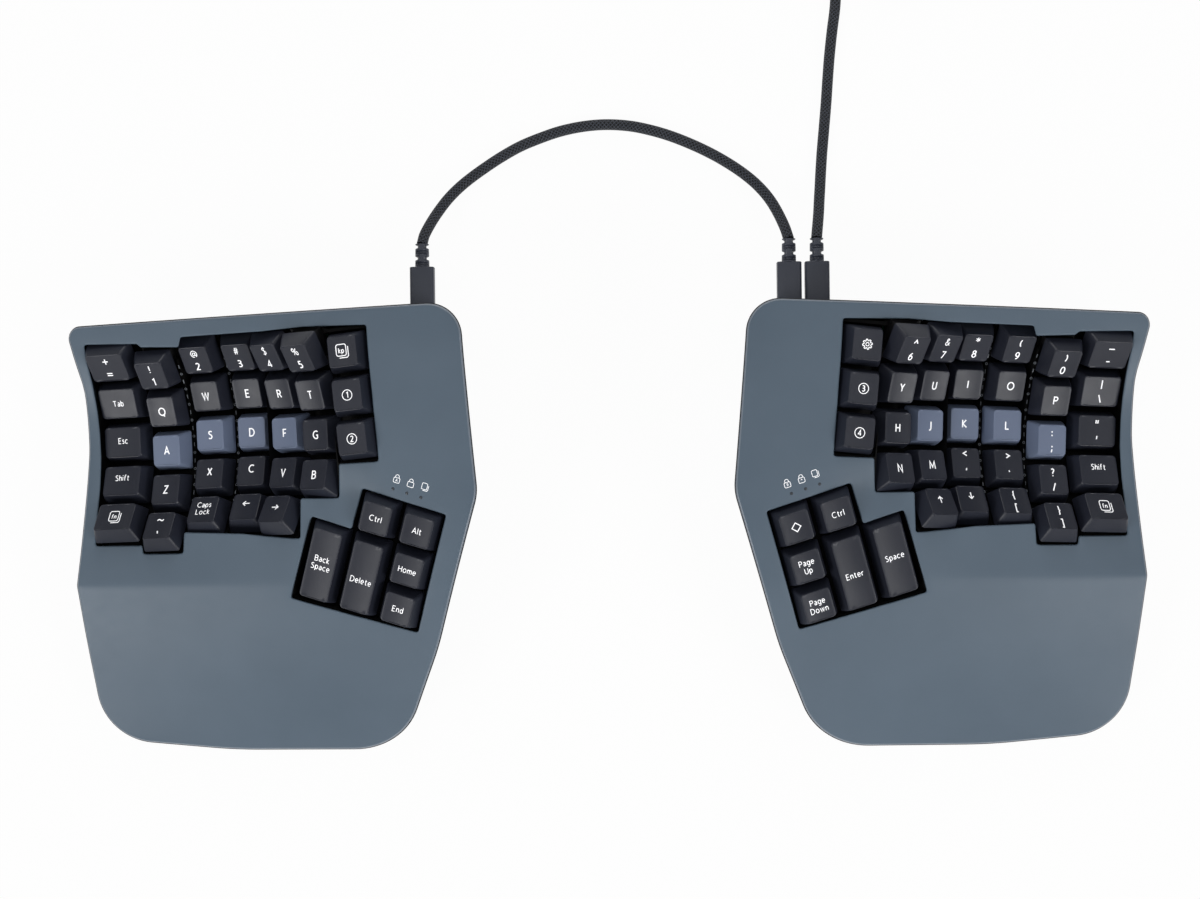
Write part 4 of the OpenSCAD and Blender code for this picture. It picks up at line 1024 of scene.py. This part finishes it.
def circle(r, at=(0, 0), start=0, end=360, n=28):
    """Points on a circle, or on an arc of it with both its ends."""
    a = np.radians(np.linspace(start, end, n, endpoint=end - start < 360))
    return np.stack([at[0] + r * np.cos(a), at[1] + r * np.sin(a)], 1)


def shifted(shape, x, y):
    """A shape moved in its own plane."""
    return shape[0] + [x, y, 0], shape[1]


def ring_digit(digit):
    """A digit in a ring."""
    return [stroke(circle(2.3), 0.36, True), *lettering(digit, 2.5)]


def layer_sign(word):
    """Two stacked cards with a word on the front one."""
    front = rounded_ring(4.7, 5.2, 0.9, 4, 1) + [-0.55, 0.55]
    behind = [(2.75, 2.0), (2.75, -2.3), (2.2, -2.95), (-1.6, -2.95)]
    name = [shifted(q, -0.55, 0.35) for q in lettering(word, 2.1)]
    return [stroke(front, 0.4, True), *name, stroke(behind, 0.4)]


def arrow(degrees):
    """Shaft and head that point along X, turned."""
    turn = turn_z(degrees)[:2, :2].T
    shaft, head = np.array([(-1.7, 0), (1.5, 0)]), np.array([(0.35, 1.15), (1.6, 0), (0.35, -1.15)])
    return [stroke(shaft @ turn, 0.5), stroke(head @ turn, 0.5)]


def cog():
    """Toothed ring, whose radius swings with the angle, round a plain one."""
    a = np.linspace(0, TAU, 96, endpoint=False)
    r = 1.95 + 0.32 * np.tanh(5 * np.sin(8 * a))
    return [stroke(np.stack([r * np.cos(a), r * np.sin(a)], 1), 0.36, True), stroke(circle(0.75), 0.36, True)]


SIGNS = {
    "fn": layer_sign("fn"), "kp": layer_sign("kp"), "cog": cog(),
    "diamond": [stroke([(0, 2.1), (-2.1, 0), (0, -2.1), (2.1, 0)], 0.42, True)],
    "right": arrow(0), "up": arrow(90), "left": arrow(180), "down": arrow(-90),
    **{f"({digit})": ring_digit(digit) for digit in "1234"},
}
# Heights of legends, and stroke weights of words and of the signs with the finest strokes
LETTER, PAIR, WORD, THUMB_WORD = 3.45, 3.4, (2.5, 0.14), (2.55, 0.13)
FINE_SIGNS, FINE_WEIGHT = "@#$%&*", 0.11
PAIR_RISE, LINE_RISE = 3.4, 1.9


def legend_shape(text, word):
    """The shapes of one key's legend: a sign, a letter, a word, or two lines parted by a space."""
    if text in SIGNS:
        return SIGNS[text]
    lines = text.split(" ")
    if len(lines) == 1:
        return lettering(text, LETTER) if len(text) == 1 else lettering(text, *word)
    if len(lines[0]) == 1:
        weight = FINE_WEIGHT if lines[0] in FINE_SIGNS else LETTER_WEIGHT
        looks, up = ((PAIR, weight), (PAIR, LETTER_WEIGHT)), PAIR_RISE
    else:
        looks, up = (word, word), LINE_RISE * word[0] / WORD[0]
    rows = zip(lines, looks, (up, -up))
    return [shifted(q, 0, y) for line, look, y in rows for q in lettering(line, *look)]


def inked(points):
    """Height of each point of a flat legend over its ground: the top just proud, the bottom just sunk."""
    return np.where(points[:, 2] > 0, INK_RISE, -INK_SINK)


def printed_on(shapes, w, up):
    """Legend solids bent onto the dish of a cap of width w."""
    points, faces = joined(shapes)
    points[:, 1] += up
    points[:, 2] = CAP_LIFT + CAP_HEIGHT - dish(points[:, 0], w) + inked(points)
    return points, faces


FINGER_LEGENDS = {
    "left": [
        ["+ =", "Tab", "Esc", "Shift", "fn"], ["! 1", "Q", "A", "Z", "~ `"],
        ["@ 2", "W", "S", "X", "Caps Lock"], ["# 3", "E", "D", "C", "left"],
        ["$ 4", "R", "F", "V", "right"], ["% 5", "T", "G", "B"],
    ],
    "right": [
        ["_ -", "| \\", "\" '", "Shift", "fn"], [") 0", "P", ": ;", "? /", "} ]"],
        ["( 9", "O", "L", "> .", "{ ["], ["* 8", "I", "K", "< ,", "down"],
        ["& 7", "U", "J", "M", "up"], ["^ 6", "Y", "H", "N"],
    ],
}
INNER_LEGENDS = {"left": ["kp", "(1)", "(2)"], "right": ["cog", "(3)", "(4)"]}
THUMB_LEGENDS = {
    "left": ["Alt", "Home", "End", "Ctrl", "Delete", "Back Space"],
    "right": ["diamond", "Page Up", "Page Down", "Ctrl", "Enter", "Space"],
}
LEGEND_RISE = {
    "Delete": -1.6, "Back Space": 0.9, "Enter": -1.1, "Space": 1.4, "left": 2.0, "down": 2.0, "right": 1.1,
    "up": 1.3, "Esc": 0.7, "Shift": 1.5, "X": 1.0, "C": 1.2, "< ,": 1.4, "> .": 1.1, "Caps Lock": 0.8,
}
ROWS, HOME_ROW = ("number", "upper", "home", "lower", "bottom"), 2
HOME_COLUMNS, INDEX_COLUMNS = (1, 2, 3, 4), (4, 5)
THUMB_NAMES = ("upper_inner", "middle_inner", "lower_inner", "upper", "middle_bar", "outer_bar")


def key_groups(side):
    """(node, [(frame, width, depth, legend, home key)]) for every key node of a half."""
    def finger_key(c, r):
        width = CAP + (COLUMNS[c][5] - 1) * PITCH
        return column_key(c, r), width, CAP, FINGER_LEGENDS[side][c][r], r == HOME_ROW and c in HOME_COLUMNS

    groups = []
    for r, row in enumerate(ROWS):
        index = [finger_key(c, r) for c in INDEX_COLUMNS if r < COLUMNS[c][4]]
        groups.append((f"{side}_{row}_row_keys", [finger_key(c, r) for c in range(INDEX_COLUMNS[0])]))
        groups.append((f"{side}_index_{row}_key{'s' if len(index) > 1 else ''}", index))
    inner = [(inner_key(r), CAP, CAP, legend, False) for r, legend in enumerate(INNER_LEGENDS[side])]
    groups.append((f"{side}_inner_column_keys", inner))
    for i, (name, legend) in enumerate(zip(THUMB_NAMES, THUMB_LEGENDS[side])):
        depth = CAP + (THUMB_KEYS[i][2] - 1) * THUMB_PITCH[1]
        groups.append((f"{side}_thumb_{name}_key", [(thumb_key(i), CAP, depth, legend, False)]))
    return groups


def make_keys(side, node, keys):
    """The caps of a key node as one piece, and their legends as another."""
    caps, inks, index = [], [], []
    for m, w, d, legend, home in keys:
        m = RIGHT_PLACE @ m
        m = mirrored(m) if side == "left" else m
        points, faces = CAP_SHAPES[w, d]
        caps.append((moved(points, m), faces))
        index += [int(home)] * len(faces)
        shapes = legend_shape(legend, THUMB_WORD if "thumb" in node else WORD)
        points, faces = printed_on(shapes, w, LEGEND_RISE.get(legend, 0.0))
        inks.append((moved(points, m), faces))
    slot = "home_key_plastic" if "home" in node else "key_plastic"
    piece(f"{node}_caps", *joined(caps), [KEY, HOME], node, slot, index=index, replaces=[node])
    piece(f"{node}_legends", *joined(inks), [INK], node, slot)


for side in SIDES:
    for node, keys in key_groups(side):
        make_keys(side, node, keys)


# Indicator lights beside the thumb keys, and the signs over them

DOT_STEP, DOT_LINE, SIGN_LINE, SIGN_SHIFT, SIGN_SIZE = 6.7, 33.2, 38.6, -1.1, 0.86
DOME_R, DOME_RISE, DOME_SINK, DOME_SHIFT = 0.75, 0.225, 0.5, (-0.5, 0.3)


def padlock(mark=""):
    """Body and shackle, with a small mark on the body."""
    body = rounded_ring(3.3, 2.7, 0.5, 3, 1) + [0, -1.0]
    shackle = np.concatenate([[(1.0, 0.35)], circle(1.0, (0, 0.95), 0, 180, 9), [(-1.0, 0.35)]])
    marks = [shifted(q, 0, -1.0) for q in lettering(mark, 1.4)]
    return [stroke(body, 0.3, True), stroke(shackle, 0.3), *marks]


def cards():
    """Two stacked cards."""
    front = rounded_ring(2.9, 3.3, 0.55, 3, 1) + [-0.3, 0.3]
    return [stroke(front, 0.3, True), stroke([(1.8, 1.1), (1.8, -1.5), (1.3, -2.0), (-0.9, -2.0)], 0.3)]


SIGN_SETS = {"left": [cards(), padlock(), padlock("A")], "right": [padlock("9"), padlock("^"), cards()]}


def dot_x(k):
    """Place of a light across the thumb plane."""
    return THUMB_PITCH[0] / 2 + k * DOT_STEP


def domes():
    """Three shallow domes: rings that shrink as the cosine while they rise as the sine, on a sunk foot."""
    t, a = np.radians([0, 0, 20, 40, 60, 78]), np.arange(18) * TAU / 18
    size, lift = DOME_R * np.cos(t)[:, None], DOME_RISE * np.sin(t)[:, None]
    lift[0] = -DOME_SINK
    rings = np.stack(np.broadcast_arrays(size * np.cos(a), size * np.sin(a), lift), -1)
    dome = closed_loft(rings, [0, 0, -DOME_SINK], [0, 0, DOME_RISE])
    return [shifted(dome, dot_x(k) + DOME_SHIFT[0], DOT_LINE + DOME_SHIFT[1]) for k in (-1, 0, 1)]


def on_deck(shapes):
    """Shapes of the thumb plane set down on the deck, their heights kept."""
    points, faces = joined(shapes)
    ground = dropped(THUMB_FRAME, points[:, 0], points[:, 1])
    ground[:, 2] += points[:, 2]
    return moved(ground, RIGHT_PLACE), faces


for side, flip in zip(SIDES, (-1, 1)):
    signs = []
    for k, shapes in enumerate(SIGN_SETS[side]):
        points, faces = joined(shapes)
        points *= [flip * SIGN_SIZE, SIGN_SIZE, 1]
        points[:, 2] = inked(points)
        signs.append(shifted((points, faces), dot_x(k - 1) + SIGN_SHIFT, SIGN_LINE))
    points, faces = on_deck(signs)
    piece(f"{side}_indicator_signs", points * [flip, 1, 1], faces, [INK], "frame", "case_plastic")
    points, faces = on_deck(domes())
    faces = flipped(faces) if side == "left" else faces
    piece(f"{side}_indicator_domes", points * [flip, 1, 1], faces, [LENS], "frame", "light_pipe",
          replaces=["indicator_light_pipes"])


# Pale clips on thin combs that stand between the finger columns: partly clips, partly painted highlights that
# glint on switch parts in the gaps

COMB_COLUMNS, COMB_EDGE, COMB_HALF, COMB_FOOT, COMB_TOP, COMB_ENDS = (1, 2), -9.5, 0.16, -0.4, 4.3, (-31, 36)
CLIP_STEP, CLIP_ENDS, CLIP_HALF, CLIP_SHIFT = 3.1, (-29, 35), 0.12, 0.1


def on_column(c, points):
    """Points (across, along the row arc in degrees, height) of a column carried to the half's frame."""
    u, v, w, roll = COLUMNS[c][:4]
    a = np.radians(points[:, 1])
    r = WELL_RADIUS - points[:, 2]
    local = np.stack([points[:, 0], r * np.sin(a), WELL_RADIUS - r * np.cos(a)], 1)
    return moved(moved(local, place(turn_y(roll), (u, v, w))), WELL_FRAME)


def comb_fin(c):
    """Thin upright fin along a column's edge: a rectangle carried round the row arc."""
    angle = np.linspace(*COMB_ENDS, 40)
    x = COMB_EDGE + COMB_HALF * np.array([-1, 1, 1, -1])
    z = np.array([COMB_FOOT, COMB_FOOT, COMB_TOP, COMB_TOP])
    rings = np.stack(np.broadcast_arrays(x, angle[:, None], z), -1).reshape(-1, 3)
    last = len(rings) - 4
    faces = strip(len(angle), 4).tolist() + [[3, 2, 1, 0], [last, last + 1, last + 2, last + 3]]
    return on_column(c, rings), flipped(faces)


def comb_clip_glints(c):
    """Small rings and dashes in turn on top of a fin, lying flat."""
    ring, dash = stroke(circle(0.5, n=14), 0.26, True), stroke([(0, -0.9), (0.05, 0), (0, 0.9)], 0.3)
    shapes = []
    for k, angle in enumerate(np.arange(*CLIP_ENDS, CLIP_STEP)):
        points, faces = ring if k % 2 else dash
        across, height = COMB_EDGE + points[:, 0], COMB_TOP + points[:, 2] * CLIP_HALF / STROKE_HALF
        along = angle + np.degrees(points[:, 1] / (WELL_RADIUS - COMB_TOP))
        shapes.append((on_column(c, np.stack([across + CLIP_SHIFT, along, height + CLIP_SHIFT], 1)), faces))
    return shapes


for name, finish, shapes in (
    ("well_combs", WELL_SHADE_BLACK, [comb_fin(c) for c in COMB_COLUMNS]),
    ("well_clips", PALE_CLIP_GLINT, [q for c in COMB_COLUMNS for q in comb_clip_glints(c)]),
):
    for side, points, faces in both_halves(*joined(shapes)):
        piece(f"{side}_{name}", points, faces, [finish], "frame", "switch_plastic")


# Finishes of the solids that show as they are

NODE_FINISH = {
    "bottom_case": TRAY, "key_well": WELL_SHADE_BLACK, "thumb_plate": WELL_SHADE_BLACK, "switch_housings": SWITCH,
    "main_board": BOARD, "tent_leg": TRAY, "tent_button": RUBBER, "flex_circuits": BOARD,
    "usb_sockets": STEEL, "rubber_feet": RUBBER, "case_screws": STEEL,
}
WELD, SPLIT_ANGLE = 1e-6, 28
for name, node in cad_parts.items():
    kind = name.split("_", 1)[1] if name.startswith(("left_", "right_")) else name
    if kind in NODE_FINISH:
        node.data.materials.clear()
        node.data.materials.append(NODE_FINISH[kind])
        node.data.polygons.foreach_set("use_smooth", np.ones(len(node.data.polygons), bool))
        node.modifiers.new("weld", "WELD").merge_threshold = WELD
        node.modifiers.new("split", "EDGE_SPLIT").split_angle = math.radians(SPLIT_ANGLE)


# Studio, in metres

def backdrop_white(name):
    """White floor: mostly plain white to the camera and reflections, the rest lit, so that shadows stay."""
    f = Finish(name)
    f.set(f.shader, Base_Color=(0.9, 0.9, 0.9, 1), Roughness=0.9)
    path = f.node("LightPath").outputs
    reflected = f.math("MAXIMUM", path["Is Glossy Ray"], path["Is Transmission Ray"])
    seen = f.math("MAXIMUM", path["Is Camera Ray"], reflected)
    glow = f.node("Emission", Strength=1.0)
    mix = f.node("MixShader", Fac=f.math("MULTIPLY", seen, 0.96), i1=f.shader.outputs[0], i2=glow.outputs[0])
    f.set(f.tree.nodes["Material Output"], Surface=mix.outputs[0])
    return f.material


FLOOR_REACH, LAMP_AIM, WORLD_STRENGTH = 6, (0, 0, 0.03), 0.14
# Place, size and power of each lamp
LAMPS = {
    "left_key_light": ((-1.75, -1.35, 1.5), 1.1, 23), "right_key_light": ((1.75, -1.35, 1.5), 1.1, 23),
    "left_top_light": ((-1.25, 0.45, 1.6), 0.9, 3), "right_top_light": ((1.25, 0.45, 1.6), 0.9, 3),
    "front_light": ((0, -2.0, 1.2), 1.2, 6), "back_light": ((0, 2.2, 0.9), 1.3, 13),
    "fill_light": ((0, 0.3, 2.4), 1.4, 4.5),
}


def make_floor():
    """White floor at the height of the desk."""
    mesh = bpy.data.meshes.new("floor")
    corners = [(x * FLOOR_REACH, y * FLOOR_REACH, 0) for x, y in ((-1, -1), (1, -1), (1, 1), (-1, 1))]
    mesh.from_pydata(corners, [], [(0, 1, 2, 3)])
    mesh.materials.append(backdrop_white("floor_white"))
    floor = put("floor", mesh)


def soft_light(name, at, size, power):
    """Round area lamp that points at the middle of the part."""
    data = bpy.data.lights.new(name, "AREA")
    data.shape, data.size, data.energy = "DISK", size, power
    light = put(name, data)
    light.location = at
    light.rotation_euler = (Vector(at) - Vector(LAMP_AIM)).to_track_quat("Z", "Y").to_euler()


def make_world():
    """Even white light from all round."""
    world = bpy.data.worlds.new("studio")
    world.use_nodes = True
    background = world.node_tree.nodes["Background"]
    background.inputs["Color"].default_value = (1, 1, 1, 1)
    background.inputs["Strength"].default_value = WORLD_STRENGTH
    bpy.context.scene.world = world


make_floor()
for name, (at, size, power) in LAMPS.items():
    soft_light(name, at, size, power)
make_world()
bpy.context.scene.view_settings.view_transform = "Standard"
